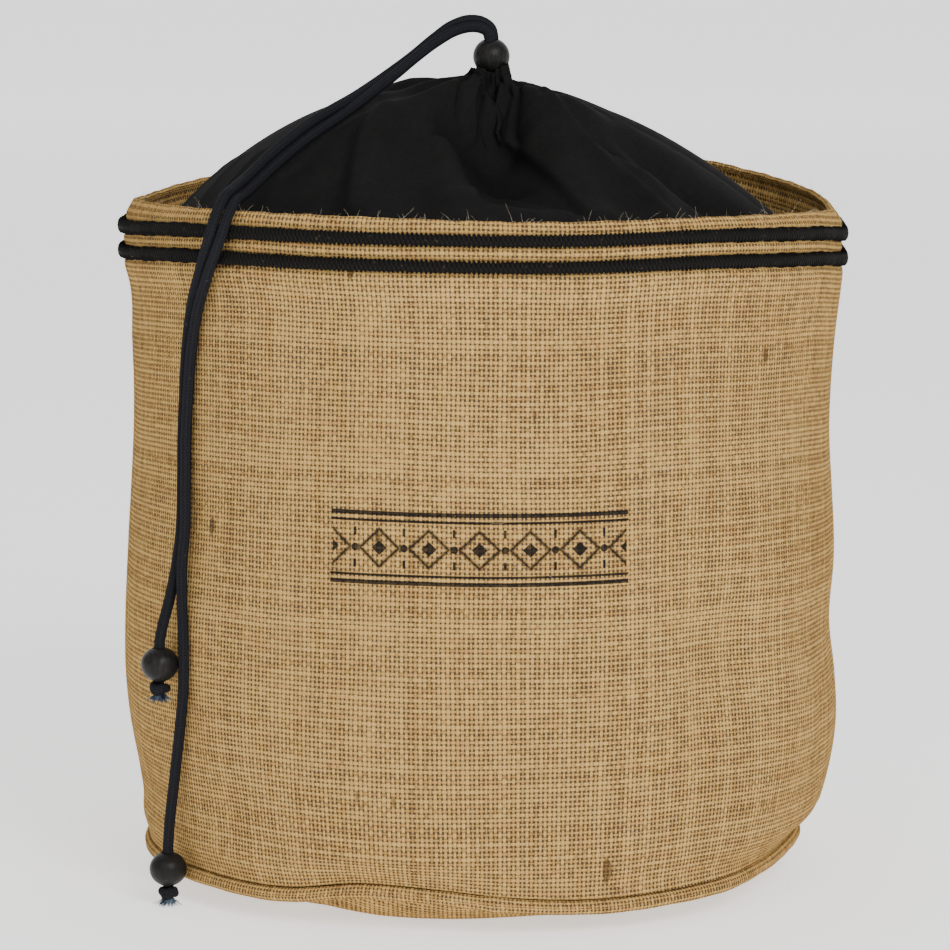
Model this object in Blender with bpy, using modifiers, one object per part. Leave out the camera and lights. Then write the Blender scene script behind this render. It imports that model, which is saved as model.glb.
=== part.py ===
"""A hessian storage sack with a black cotton drawstring closure.

An upright cloth tub: a hessian wall with a turned hem, a flat base panel, a piped base seam, two black cords
sewn round the rim, and inside the rim a black cotton cone, gathered to a neck under a wooden toggle bead. Both
ends of the drawcord leave the bead, arch over the rim and hang down the front left, each with a bead and a knot.

Metres, +Z up. The origin is under the middle of the sack, on the surface it stands on. Angles are in degrees
round the sack: 0 is the front (-Y), 90 the right (+X), 180 the back and -90 the left. Tables are in millimetres.
"""

import math

import bmesh
import bpy
import numpy as np
from mathutils import Vector

MM = 0.001
PART = "hessian_sack"

# Driving dimensions.
COLUMNS = 56  # facets round the sack, shared by every piece that goes round it
GAP = 0.35 * MM  # between pieces that are sewn together or touch
SEWN_GAP = 0.8 * MM  # between the hem and the closure sewn inside it
WELD = 0.02 * MM
WALL_THICKNESS = 1.8 * MM
HEM_THICKNESS = 3.0 * MM
BASE_THICKNESS = 1.8 * MM
COTTON_THICKNESS = 1.0 * MM
PIPING_RADIUS = 3.0 * MM
RIM_CORD_WIDTH = 5.0 * MM
RIM_CORD_DEPTH = 3.2 * MM
RIM_CORD_RADIUS = 148.2 * MM  # from the sack's axis to the middle of a rim cord
RIM_CORD_PITCH = 10.1 * MM
CORD_DIAMETER = 4.0 * MM
BEAD_WIDTH = 15.0 * MM
END_BEAD_HEIGHT = 14.0 * MM
KNOT_WIDTH = 9.2 * MM
KNOT_LENGTH = 7.2 * MM

# The rim: its height, and how far under it the upper cord runs.
RIM = [  # angle, height, drop to the upper cord
    (-180, 286.0, 9.0),
    (-150, 283.5, 9.2),
    (-126, 281.0, 9.6),
    (-100, 277.2, 10.2),
    (-78, 279.0, 10.8),
    (-52, 280.2, 8.4),
    (-20, 280.3, 7.8),
    (10, 278.7, 7.0),
    (38, 278.5, 7.0),
    (64, 276.6, 8.4),
    (88, 274.5, 10.2),
    (104, 278.0, 10.0),
    (125, 283.0, 9.6),
    (145, 288.2, 9.2),
    (162, 288.2, 9.0),
]

# The base seam: where the middle of its piping runs.
SEAM = [  # angle, radius, height
    (-180, 138.0, 12.0),
    (-120, 138.4, 12.0),
    (-90, 138.2, 11.8),
    (-55, 138.8, 11.5),
    (-33, 138.4, 12.2),
    (-20, 138.8, 16.9),
    (-8, 139.0, 16.2),
    (4, 139.2, 13.2),
    (18, 139.4, 11.2),
    (32, 139.0, 11.6),
    (44, 137.2, 12.3),
    (56, 132.6, 13.4),
    (70, 129.4, 14.4),
    (90, 130.0, 14.4),
    (120, 135.0, 13.0),
]

# The wall's outside, level by level. A level is the height on an even sack: the wall is stretched so that level
# 14 follows the base seam, 262.7 and 272.8 the two rim cords, and 280 the rim.
WALL = [  # level, then the radius at the left, front, right and back
    (14, 140.0, 140.5, 132.0, 139.5),
    (22, 142.2, 142.3, 138.0, 141.6),
    (32, 142.2, 143.5, 141.4, 143.2),
    (44, 143.9, 144.8, 144.2, 144.8),
    (62, 146.9, 146.5, 146.5, 146.8),
    (85, 148.8, 147.5, 145.7, 147.6),
    (108, 148.8, 147.5, 143.2, 147.0),
    (135, 147.4, 147.0, 144.5, 146.2),
    (165, 145.5, 146.3, 144.0, 146.4),
    (195, 144.2, 145.8, 143.0, 145.6),
    (225, 144.7, 145.4, 144.4, 144.9),
    (250, 145.3, 145.6, 146.9, 145.8),
    (257, 147.1, 147.0, 147.6, 147.0),
    (268, 147.6, 147.4, 147.5, 147.4),
    (276, 146.4, 147.0, 147.3, 147.0),
    (280, 142.9, 145.0, 142.9, 144.5),
]
WALL_ROWS = (14, 19, 25, 33, 46, 64, 86, 110, 138, 168, 198, 226, 243)
LEVEL_SEAM, LEVEL_LOW, LEVEL_HIGH, LEVEL_LOWER, LEVEL_UPPER, LEVEL_RIM = 14, 30, 250, 262.7, 272.8, 280
HEM_ROWS = (253.7, 259.5, 262.7, 265.9, 269.6, 272.8, 276.0, 278.6, 280)
GROOVE_DEPTH, GROOVE_WIDTH = 2.1, 3.2  # the cloth pinched under each rim cord

WALL_FOLDS = [  # name, angle, level, width in degrees, height of the fold, how far it stands out
    ("front right valley", 39, 105, 8, 45, -3.0),
    ("front right bulge", 58, 100, 10, 45, 2.0),
    ("dent by the piping join", 6, 36, 9, 18, -2.2),
    ("front left bulge", -30, 70, 14, 40, 1.2),
    ("left dent", -72, 36, 9, 14, -0.8),
    ("back right valley", 152, 120, 9, 50, -3.2),
    ("back bulge", 172, 90, 12, 45, 2.2),
    ("back left dent", -138, 60, 10, 30, -2.4),
    ("back left roll", -118, 150, 12, 60, 1.6),
]

# The closure's dome: a crown at the neck that falls to an edge, fuller than a cone above 1 and hollow under 1.
NECK_X, NECK_Y = 3.4, -3.0
NECK_RADIUS, EDGE_RADIUS = 9.0, 130.0
NECK_RISE, NECK_SPREAD = 5.0, 16.0  # how far the gathers lift the cloth at its neck, and how far out they reach
DOME = [  # angle, edge height, crown height, fullness
    (-180, 274, 321.6, 1.80),
    (-135, 272, 322.8, 2.05),
    (-90, 268, 324.6, 2.30),
    (-60, 269, 324.2, 2.25),
    (-38, 269, 324.0, 2.00),
    (-25, 270, 323.4, 1.45),
    (-12, 272, 322.4, 1.00),
    (3, 274, 322.0, 0.54),
    (14, 273, 322.0, 0.62),
    (22, 271, 322.2, 0.86),
    (31, 269, 322.4, 1.25),
    (45, 266, 322.4, 1.75),
    (62, 264, 322.4, 1.90),
    (90, 262, 321.8, 1.85),
    (135, 268, 321.6, 1.80),
]
NECK = [(8.9, 332.8), (8.7, 330.0)]  # radius, height of the mouth round the toggle bead
DOME_ROWS = (9.8, 13, 19, 28, 40, 55, 72, 90, 106, 119, 130)
CLOSURE_FOLDS = [  # name, (angle, radius) along it, width, how far it stands out
    ("pressed in under the drawcord", [(-78, 36), (-58, 62), (-52, 96)], 9, -2.0),
    ("left ridge", [(-40, 66), (-22, 127)], 9, 5.5),
    ("left lobe's foot", [(-30, 72), (-14, 60), (-2, 24)], 9, -7.0),
    ("hollow's left edge", [(-15, 66), (-5, 122)], 9, 5.0),
    ("roll across the hollow", [(-2, 108), (16, 124)], 9, 4.0),
    ("middle ridge", [(38, 22), (27, 60), (24, 122)], 9, 5.0),
    ("right ridge", [(47, 46), (45, 72), (38, 126)], 8, 4.5),
    ("right valley", [(48, 74), (50, 94), (56, 126)], 9, -7.0),
    ("back ridge", [(150, 20), (158, 120)], 11, 5.0),
    ("back valley", [(-158, 40), (-170, 124)], 11, -5.5),
    ("back left ridge", [(-118, 30), (-126, 118)], 10, 3.5),
    ("back right valley", [(112, 44), (118, 124)], 10, -4.5),
]
PLEATS, PLEAT_HEIGHT, PLEAT_REACH = 9, 2.1, 50.0

# The drawcord: its two ends run as a pair from the toggle bead to the front left of the wall.
PAIR = [  # x, y, z of the pair's middle, then its turn: 0 side by side seen from the front, 90 the short one behind
    (3.4, -3.0, 324.0, 68),
    (3.4, -3.0, 342.9, 68),
    (2.5, -3.0, 346.2, 62),
    (-0.8, -3.0, 348.4, 54),
    (-5.4, -3.0, 348.9, 50),
    (-11.8, -3.5, 347.1, 56),
    (-19.0, -5.5, 342.6, 68),
    (-27.8, -10.0, 335.9, 76),
    (-36.3, -15.5, 329.4, 68),
    (-43.8, -24.0, 324.1, 60),
    (-50.8, -34.0, 319.4, 48),
    (-59.4, -43.0, 314.2, 24),
    (-67.6, -51.0, 309.3, 8),
    (-76.0, -59.0, 303.2, 2),
    (-84.0, -68.0, 296.6, 0),
    (-91.4, -82.0, 289.8, 2),
    (-96.0, -96.0, 286.2, 4),
    (-98.2, -105.2, 284.6, 8),
    (-100.8, -112.0, 279.0, 12),
    (-103.0, -114.2, 272.2, 18),
    (-105.4, -112.2, 265.0, 30),
    (-108.3, -106.8, 256.4, 42),
    (-112.4, -97.8, 242.4, 52),
    (-115.3, -92.5, 223.9, 62),
    (-116.7, -90.5, 205.5, 68),
    (-117.6, -90.0, 188.7, 70),
    (-117.8, -90.9, 173.0, 70),
    (-118.3, -91.9, 153.2, 66),
]
LONG_END = [  # x, y, z of the long strand below the pair, down to its bead
    (-118.6, -93.0, 141.0),
    (-118.8, -93.8, 125.3),
    (-118.3, -94.9, 107.4),
    (-118.6, -94.6, 89.6),
    (-120.6, -90.6, 71.0),
    (-123.2, -85.2, 50.8),
    (-125.2, -81.8, 35.0),
    (-126.1, -82.0, 14.9),
]
SHORT_END = [  # the same for the short strand
    (-121.2, -88.6, 139.0),
    (-124.4, -88.6, 124.0),
    (-127.0, -90.4, 114.0),
    (-127.9, -92.0, 99.8),
]
PAIR_SPACING = CORD_DIAMETER + 0.5 * MM
LONGEST_STEP = 11 * MM  # between the points of a cord's route, less where it turns
SHARPEST_TURN = math.radians(22)

COLOURS = {  # base colour, roughness
    "hessian": ((0.44, 0.29, 0.145), 0.92),
    "black_cotton": ((0.012, 0.011, 0.012), 0.90),
    "black_cord": ((0.010, 0.010, 0.011), 0.85),
    "navy_cord": ((0.012, 0.014, 0.022), 0.88),
    "black_wood": ((0.016, 0.015, 0.013), 0.55),
    "frayed_ends": ((0.030, 0.042, 0.060), 0.92),
}


def clear_scene():
    for thing in list(bpy.data.objects):
        bpy.data.objects.remove(thing)


def new_collection(name):
    made = bpy.data.collections.new(name)
    bpy.context.scene.collection.children.link(made)
    return made


def material(name):
    made = bpy.data.materials.get(name)
    if made:
        return made
    colour, roughness = COLOURS[name]
    made = bpy.data.materials.new(name)
    made.use_nodes = True
    shader = made.node_tree.nodes["Principled BSDF"]
    shader.inputs["Base Color"].default_value = (*colour, 1)
    shader.inputs["Roughness"].default_value = roughness
    shader.inputs["Metallic"].default_value = 0
    return made


def smooth(at, knots, values):
    """A curve through (knots, values) with an even slope at each knot: a cubic between each two."""
    knots, values = np.asarray(knots, float), np.asarray(values, float)
    slopes = np.gradient(values, knots)
    i = np.clip(np.searchsorted(knots, at, side="right") - 1, 0, len(knots) - 2)
    step = knots[i + 1] - knots[i]
    t = np.clip((at - knots[i]) / step, 0, 1)
    rise = 3 * t**2 - 2 * t**3
    lead = (t**3 - 2 * t**2 + t) * step * slopes[i]
    trail = (t**3 - t**2) * step * slopes[i + 1]
    return values[i] * (1 - rise) + values[i + 1] * rise + lead + trail


def around(angle, table, column):
    """The value of a table's column at an angle, carried smoothly round the sack."""
    knots = [row[0] for row in table]
    values = [row[column] for row in table]
    knots = [knots[-2] - 360, knots[-1] - 360, *knots, knots[0] + 360, knots[1] + 360]
    values = [values[-2], values[-1], *values, values[0], values[1]]
    return smooth((np.asarray(angle) + 180) % 360 - 180, knots, values)


def polar(angle, radius, height):
    """Points from an angle, a radius and a height in millimetres."""
    turn = np.radians(angle)
    return np.stack([radius * np.sin(turn), -radius * np.cos(turn), height + 0 * turn], axis=-1) * MM


def angle_between(a, b):
    return (a - b + 180) % 360 - 180


def upper_cord(angle):
    return around(angle, RIM, 1) - around(angle, RIM, 2)


def lower_cord(angle):
    return upper_cord(angle) - RIM_CORD_PITCH / MM


def rim_cord_radius(angle):
    return RIM_CORD_RADIUS / MM + 0 * angle


def seam_radius(angle):
    return around(angle, SEAM, 1)


def seam_height(angle):
    return around(angle, SEAM, 2)


def wall_foot(angle):
    """The height of the wall's lower edge, which stands on the piping."""
    return seam_height(angle) + (PIPING_RADIUS + GAP) / MM


def wall_height(angle, level):
    """The height of a level: a straight run between each two of the marks that it is stretched to."""
    low = lower_cord(angle)
    marks = [
        (LEVEL_SEAM, wall_foot(angle)),
        (LEVEL_LOW, LEVEL_LOW + 0 * low),
        (LEVEL_HIGH, low - (LEVEL_LOWER - LEVEL_HIGH)),
        (LEVEL_LOWER, low),
        (LEVEL_UPPER, upper_cord(angle)),
        (LEVEL_RIM, around(angle, RIM, 1)),
    ]
    height = marks[0][1]
    for (start, foot), (end, top) in zip(marks, marks[1:]):
        share = np.clip((level - start) / (end - start), 0, 1)
        height = np.where(level > start, foot + share * (top - foot), height)
    return height


def wall_radius(angle, level):
    """The outside radius: an oval for each level, plus the folds, less the groove under each rim cord."""
    turn = np.radians(angle)
    levels = [row[0] for row in WALL]
    left, front, right, back = (smooth(level, levels, [row[k] for row in WALL]) for k in (1, 2, 3, 4))
    radius = (left + front + right + back) / 4
    radius = radius + (front - back) / 2 * np.cos(turn) + (right - left) / 2 * np.sin(turn)
    radius = radius + (front + back - right - left) / 4 * np.cos(2 * turn)
    for _, middle, centre, wide, tall, out in WALL_FOLDS:
        away = (angle_between(angle, middle) / wide) ** 2 + ((level - centre) / tall) ** 2
        radius = radius + out * np.exp(-away)
    height = wall_height(angle, level)
    for cord in (upper_cord(angle), lower_cord(angle)):
        radius = radius - GROOVE_DEPTH * np.exp(-(((height - cord) / GROOVE_WIDTH) ** 2))
    to_seam = np.clip((LEVEL_LOW - level) / (LEVEL_LOW - LEVEL_SEAM), 0, 1) ** 2
    seam = seam_radius(angle) + WALL_THICKNESS / 2 / MM
    return radius * (1 - to_seam) + seam * to_seam


def fold_height(angle, radius, folds):
    """Ridges and valleys that run along lines in plan, each a soft bump across its line."""
    turn = np.radians(angle)
    x, y = radius * np.sin(turn), -radius * np.cos(turn)
    height = 0 * radius
    for _, line, wide, out in folds:
        points = [(r * math.sin(math.radians(a)), -r * math.cos(math.radians(a))) for a, r in line]
        nearest = np.full(np.shape(radius), np.inf)
        for (x0, y0), (x1, y1) in zip(points, points[1:]):
            span = (x1 - x0) ** 2 + (y1 - y0) ** 2
            t = np.clip(((x - x0) * (x1 - x0) + (y - y0) * (y1 - y0)) / span, 0, 1)
            away = np.hypot(x - x0 - t * (x1 - x0), y - y0 - t * (y1 - y0))
            nearest = np.minimum(nearest, away)
        height = height + out * np.exp(-((nearest / wide) ** 2))
    return height


def dome_height(angle, radius):
    """The closure's height over a radius from its neck: crown less fall, plus the pleats and the folds."""
    edge, crown, fullness = (around(angle, DOME, k) for k in (1, 2, 3))
    share = np.clip((radius - NECK_RADIUS) / (EDGE_RADIUS - NECK_RADIUS), 0, 1)
    height = crown - (crown - edge) * share**fullness
    height = height + NECK_RISE * np.clip(1 - (radius - NECK_RADIUS) / NECK_SPREAD, 0, 1) ** 2
    ramp = np.clip((radius - NECK_RADIUS) / 12, 0, 1) * np.clip(1 - radius / PLEAT_REACH, 0, 1)
    uneven = 22 * np.sin(np.radians(2 * angle + 40))
    height = height + 2 * PLEAT_HEIGHT * ramp * np.cos(np.radians(PLEATS * angle + uneven))
    return height + fold_height(angle, radius, CLOSURE_FOLDS) * np.clip((radius - 16) / 20, 0, 1)


def bend_grid(name, columns, rows, place, flip=False):
    """A grid whose columns u and rows v, both from 0 to 1, are bent to place(u, v), and welded where it meets."""
    bm = bmesh.new()
    bmesh.ops.create_grid(bm, x_segments=columns, y_segments=rows, size=0.5)
    flat = np.array([vert.co[:2] for vert in bm.verts]) + 0.5
    for vert, point in zip(bm.verts, place(flat[:, 0], flat[:, 1])):
        vert.co = point
    bmesh.ops.remove_doubles(bm, verts=bm.verts, dist=WELD)
    if flip:
        bmesh.ops.reverse_faces(bm, faces=bm.faces)
    mesh = bpy.data.meshes.new(name)
    bm.to_mesh(mesh)
    bm.free()
    return mesh


def add(name, mesh, slot, parts):
    made = bpy.data.objects.new(name, mesh)
    mesh.materials.append(material(slot))
    mesh.shade_smooth()
    parts.objects.link(made)
    return made


def solidify(thing, thickness):
    """Gives an open surface its thickness on the inner side."""
    shell = thing.modifiers.new("thickness", "SOLIDIFY")
    shell.thickness = thickness
    shell.offset = -1
    shell.use_even_offset = True
    return shell


def ring_tube(name, radius, height, half_depth, half_width, sides):
    """A closed tube round the sack with an oval section, about a line given by radius and height at an angle."""

    def place(u, v):
        angle = 360 * u - 180
        turn = 2 * math.pi * v
        out = radius(angle) + half_depth / MM * np.cos(turn)
        return polar(angle, out, height(angle) + half_width / MM * np.sin(turn))

    return bend_grid(name, COLUMNS, sides, place)


def make_wall(parts):
    rows = np.array(WALL_ROWS + HEM_ROWS, float)

    def place(u, v):
        angle = 360 * u - 180
        level = rows[np.rint(v * (len(rows) - 1)).astype(int)]
        return polar(angle, wall_radius(angle, level), wall_height(angle, level))

    wall = add("sack_wall", bend_grid("sack_wall", COLUMNS, len(rows) - 1, place), "hessian", parts)
    hem = wall.vertex_groups.new(name="hem")
    for vert in wall.data.vertices:
        angle = math.degrees(math.atan2(vert.co.x, -vert.co.y))
        in_hem = vert.co.z / MM > lower_cord(angle) - LEVEL_LOWER + HEM_ROWS[0] - 1
        hem.add([vert.index], 1 if in_hem else WALL_THICKNESS / HEM_THICKNESS, "REPLACE")
    solidify(wall, HEM_THICKNESS).vertex_group = "hem"


def make_base(parts):
    """A flat disc whose edge curves up to the piping, more steeply where the seam rides up at the front left."""
    flat_radius = 98.0
    shares = np.array([0, 0.5, 1, 1.45, 1.8, 2])  # up to 1 on the flat, from 1 to 2 on the edge

    def place(u, v):
        angle = 360 * u - 180
        share = shares[np.rint(v * (len(shares) - 1)).astype(int)]
        edge = seam_radius(angle) - (PIPING_RADIUS + GAP) / MM
        rise = np.clip(share - 1, 0, 1)
        radius = np.minimum(share, 1) * flat_radius + rise * (edge - flat_radius)
        seam = seam_height(angle)
        curl = 1.6 + 0.25 * np.clip(seam - 12, 0, 5)
        return polar(angle, radius, seam * rise**curl)

    disc = bend_grid("base_panel", COLUMNS, len(shares) - 1, place)
    solidify(add("base_panel", disc, "hessian", parts), BASE_THICKNESS)


def make_piping(parts):
    tube = ring_tube("base_piping", seam_radius, seam_height, PIPING_RADIUS, PIPING_RADIUS, 8)
    add("base_piping", tube, "hessian", parts)


def make_rim_cords(parts):
    for name, height in (("rim_cord_upper", upper_cord), ("rim_cord_lower", lower_cord)):
        tube = ring_tube(name, rim_cord_radius, height, RIM_CORD_DEPTH / 2, RIM_CORD_WIDTH / 2, 8)
        add(name, tube, "black_cord", parts)


def make_closure(parts):
    """The cotton cone, from its mouth over the dome to the strip sewn inside the hem."""
    neck = [radius for radius, _ in NECK]
    rows = np.array([*neck, *DOME_ROWS, 139, 145, 146], float)
    last = len(rows) - 1

    def place(u, v):
        angle = 360 * u - 180
        row = np.rint(v * last).astype(int)
        radius = rows[row]
        height = dome_height(angle, radius)
        for k, (_, mouth) in enumerate(NECK):
            height = np.where(row == k, mouth, height)
        share = 1 - np.clip(radius / EDGE_RADIUS, 0, 1)
        shift = share**2
        for back, level in ((1, HEM_ROWS[1]), (0, HEM_ROWS[0])):
            sewn = wall_radius(angle, level) - (HEM_THICKNESS + SEWN_GAP) / MM
            radius = np.where(row == last - back, sewn, radius)
            height = np.where(row == last - back, wall_height(angle, level), height)
        edge = around(angle, DOME, 1)
        between = (edge + wall_height(angle, HEM_ROWS[1])) / 2 + 2
        height = np.where(row == last - 2, between, height)
        points = polar(angle, radius, height)
        points[:, 0] += NECK_X * MM * shift
        points[:, 1] += NECK_Y * MM * shift
        return points

    cone = bend_grid("closure", COLUMNS, last, place, flip=True)
    solidify(add("closure", cone, "black_cotton", parts), COTTON_THICKNESS)


def paced(points):
    """Points along a smooth curve through the given ones, closer together where it turns."""
    points = np.asarray(points, float)
    along = np.concatenate([[0], np.cumsum(np.linalg.norm(np.diff(points, axis=0), axis=1))])
    fine = np.linspace(0, along[-1], 2000)
    curve = np.stack([smooth(fine, along, points[:, k]) for k in range(3)], axis=1)
    steps = np.diff(curve, axis=0)
    length = np.linalg.norm(steps, axis=1)
    ahead = steps / length[:, None]
    turn = np.arccos(np.clip(np.sum(ahead[1:] * ahead[:-1], axis=1), -1, 1))
    pace = length / LONGEST_STEP + np.concatenate([[0], turn]) / SHARPEST_TURN
    pace = np.concatenate([[0], np.cumsum(pace)])
    at = np.linspace(0, pace[-1], math.ceil(pace[-1]) + 1)
    return np.stack([np.interp(at, pace, curve[:, k]) for k in range(3)], axis=1)


def strand_points(side):
    """The route of one strand of the pair: side is 1 for the short one and -1 for the long one."""
    middle = np.array([row[:3] for row in PAIR]) * MM
    turn = np.radians([row[3] for row in PAIR])[:, None]
    ahead = np.gradient(middle, axis=0)
    ahead /= np.linalg.norm(ahead, axis=1, keepdims=True)
    back = np.array([0.0, 1.0, 0.0]) - ahead * ahead[:, 1:2]
    back /= np.linalg.norm(back, axis=1, keepdims=True)
    across = -np.cross(ahead, back)
    offset = side * PAIR_SPACING / 2 * (np.cos(turn) * across + np.sin(turn) * back)
    ends = SHORT_END if side > 0 else LONG_END
    return np.concatenate([middle + offset, np.array(ends) * MM])


def make_strand(name, points, parts):
    """A tube along a strand's route, straight up through the toggle and straight down through its bead."""
    reach = np.array([0, 0, END_BEAD_HEIGHT / 2])
    above, below = points[-1] + 1.3 * reach, points[-1] - reach
    route = [points[0], *paced([*points[1:-1], above]), points[-1], below]
    curve = bpy.data.curves.new(name, "CURVE")
    curve.dimensions = "3D"
    curve.bevel_depth = CORD_DIAMETER / 2
    curve.bevel_resolution = 2
    curve.use_fill_caps = True
    spline = curve.splines.new("POLY")
    spline.points.add(len(route) - 1)
    for point, place in zip(spline.points, route):
        point.co = (*place, 1)
    strand = bpy.data.objects.new(name, curve)
    curve.materials.append(material("navy_cord"))
    parts.objects.link(strand)


def make_bead(name, middle, height, bore, parts, cutters):
    """A round wooden bead with an upright bore, given by its two half widths."""
    bm = bmesh.new()
    bmesh.ops.create_uvsphere(bm, u_segments=16, v_segments=10, radius=BEAD_WIDTH / 2)
    mesh = bpy.data.meshes.new(name)
    bmesh.ops.scale(bm, vec=(1, 1, height / BEAD_WIDTH), verts=bm.verts)
    bm.to_mesh(mesh)
    bm.free()
    bead = add(name, mesh, "black_wood", parts)
    bead.location = middle
    bm = bmesh.new()
    bmesh.ops.create_cone(bm, cap_ends=True, segments=16, radius1=1, radius2=1, depth=2 * BEAD_WIDTH)
    bmesh.ops.scale(bm, vec=(*bore, 1), verts=bm.verts)
    drill = bpy.data.meshes.new(name + "_bore")
    bm.to_mesh(drill)
    bm.free()
    cutter = bpy.data.objects.new(name + "_bore", drill)
    cutter.location = middle
    cutter.rotation_euler.z = math.radians(PAIR[0][3])
    cutter.hide_render = True
    cutter.display_type = "WIRE"
    cutters.objects.link(cutter)
    cut = bead.modifiers.new("bore", "BOOLEAN")
    cut.operation = "DIFFERENCE"
    cut.object = cutter


def make_knot(name, top, length, parts):
    """An overhand knot, as a lumpy band, with the cord's frayed end spreading under it."""
    profile = [  # share of the length down from the top, radius as a share of the knot's, depth of the lumps
        (0.00, 0.00, 0.0),
        (0.02, 0.62, 0.03),
        (0.12, 0.94, 0.06),
        (0.30, 1.00, 0.09),
        (0.45, 0.88, 0.08),
        (0.56, 0.66, 0.10),
        (0.72, 0.74, 0.16),
        (0.90, 0.80, 0.22),
        (1.00, 0.52, 0.24),
        (0.93, 0.00, 0.0),
    ]
    down, wide, lumps = (np.array([row[k] for row in profile]) for k in range(3))

    def place(u, v):
        turn = 2 * math.pi * u
        row = np.rint(v * (len(profile) - 1)).astype(int)
        wave = np.cos(3 * turn + 0.8) * (down[row] < 0.5) + np.cos(5 * turn) * (down[row] >= 0.5)
        radius = KNOT_WIDTH / 2 * wide[row] * (1 + lumps[row] * wave)
        drop = length * down[row]
        return np.stack([radius * np.sin(turn), -radius * np.cos(turn), -drop], axis=-1)

    knot = add(name, bend_grid(name, 20, len(profile) - 1, place, flip=True), "frayed_ends", parts)
    knot.location = top


def make_drawcord(parts, cutters):
    strand_bore = CORD_DIAMETER / 2 + 0.4 * MM
    for name, side in (("short", 1), ("long", -1)):
        points = strand_points(side)
        make_strand("drawcord_" + name, points, parts)
        middle = Vector(points[-1])
        make_bead("bead_" + name, middle, END_BEAD_HEIGHT, (strand_bore, strand_bore), parts, cutters)
        under = middle - Vector((0, 0, END_BEAD_HEIGHT / 2 + GAP))
        make_knot("knot_" + name, under, KNOT_LENGTH, parts)
    toggle = Vector((NECK_X, NECK_Y, 335.6)) * MM
    pair_bore = (PAIR_SPACING / 2 + strand_bore, CORD_DIAMETER / 2 + 1.0 * MM)
    make_bead("toggle_bead", toggle, BEAD_WIDTH, pair_bore, parts, cutters)


def main():
    clear_scene()
    parts = new_collection(PART)
    cutters = new_collection("cutters")
    make_wall(parts)
    make_base(parts)
    make_piping(parts)
    make_rim_cords(parts)
    make_closure(parts)
    make_drawcord(parts, cutters)


main()
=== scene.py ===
"""The looks of a hessian storage sack with a black cotton drawstring closure.

Each operator makes one piece, or one group of like pieces, as a numpy surface over the solid that it stands for,
and gives it its own procedural material. Angles are in degrees round the sack: 0 is the front (-Y), 90 the
right (+X), 180 the back and -90 the left. Tables are in millimetres, meshes in metres.
"""

import math

import bpy
import numpy as np
from bpy.props import FloatProperty, FloatVectorProperty, IntProperty, PointerProperty
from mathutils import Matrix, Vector


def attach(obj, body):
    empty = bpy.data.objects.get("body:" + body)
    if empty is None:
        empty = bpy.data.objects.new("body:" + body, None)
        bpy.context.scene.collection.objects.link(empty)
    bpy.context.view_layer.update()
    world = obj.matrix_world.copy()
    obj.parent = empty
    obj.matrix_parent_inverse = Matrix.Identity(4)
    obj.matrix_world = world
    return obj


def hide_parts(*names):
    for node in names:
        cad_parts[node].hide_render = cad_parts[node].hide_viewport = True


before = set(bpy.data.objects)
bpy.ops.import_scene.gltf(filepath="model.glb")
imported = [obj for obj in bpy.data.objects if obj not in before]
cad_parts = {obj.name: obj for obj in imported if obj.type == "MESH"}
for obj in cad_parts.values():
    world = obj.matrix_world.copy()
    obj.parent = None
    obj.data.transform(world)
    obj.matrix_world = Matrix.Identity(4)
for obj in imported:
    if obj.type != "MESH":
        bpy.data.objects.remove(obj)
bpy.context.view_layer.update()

bl_info = {
    "name": "Hessian sack",
    "version": (1, 0, 0),
    "blender": (4, 5, 0),
    "location": "3D View > Sidebar > Sack",
    "description": "Dresses a hessian storage sack with woven, sewn and knitted pieces",
    "category": "Add Mesh",
}

MM = 0.001
SEAM_ANGLE = 84.0  # where the wall's side seam runs
MEAN_RADIUS = 145.5 * MM

# ---------------------------------------------------------------- the sack's forms

RIM = [  # angle, height, drop to the upper cord
    (-180, 286.0, 9.0),
    (-150, 283.5, 9.2),
    (-126, 281.0, 9.6),
    (-100, 277.2, 10.2),
    (-78, 279.0, 10.8),
    (-52, 280.2, 8.4),
    (-20, 280.3, 7.8),
    (10, 278.7, 7.0),
    (38, 278.5, 7.0),
    (64, 276.6, 8.4),
    (88, 274.5, 10.2),
    (104, 278.0, 10.0),
    (125, 283.0, 9.6),
    (145, 288.2, 9.2),
    (162, 288.2, 9.0),
]
SEAM = [  # angle, then the radius and height of the middle of the piping
    (-180, 138.0, 12.0),
    (-120, 138.4, 12.0),
    (-90, 138.2, 11.8),
    (-55, 138.8, 11.5),
    (-33, 138.4, 12.2),
    (-20, 138.8, 16.9),
    (-8, 139.0, 16.2),
    (4, 139.2, 13.2),
    (18, 139.4, 11.2),
    (32, 139.0, 11.6),
    (44, 137.2, 12.3),
    (56, 132.6, 13.4),
    (70, 129.4, 14.4),
    (90, 130.0, 14.4),
    (120, 135.0, 13.0),
]
WALL = [  # level, then the radius at the left, front, right and back
    (14, 140.0, 140.5, 132.0, 139.5),
    (22, 142.2, 142.3, 138.0, 141.6),
    (32, 142.2, 143.5, 141.4, 143.2),
    (44, 143.9, 144.8, 144.2, 144.8),
    (62, 146.9, 146.5, 146.5, 146.8),
    (85, 148.8, 147.5, 145.7, 147.6),
    (108, 148.8, 147.5, 143.2, 147.0),
    (135, 147.4, 147.0, 144.5, 146.2),
    (165, 145.5, 146.3, 144.0, 146.4),
    (195, 144.2, 145.8, 143.0, 145.6),
    (225, 144.7, 145.4, 144.4, 144.9),
    (250, 145.3, 145.6, 146.9, 145.8),
    (257, 147.1, 147.0, 147.6, 147.0),
    (268, 147.6, 147.4, 147.5, 147.4),
    (276, 146.4, 147.0, 147.3, 147.0),
    (280, 142.9, 145.0, 142.9, 144.5),
]
LEVEL_SEAM, LEVEL_LOW, LEVEL_HIGH, LEVEL_LOWER, LEVEL_UPPER, LEVEL_RIM = 14, 30, 250, 262.7, 272.8, 280
HEM_FOOT = 253.7
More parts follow.
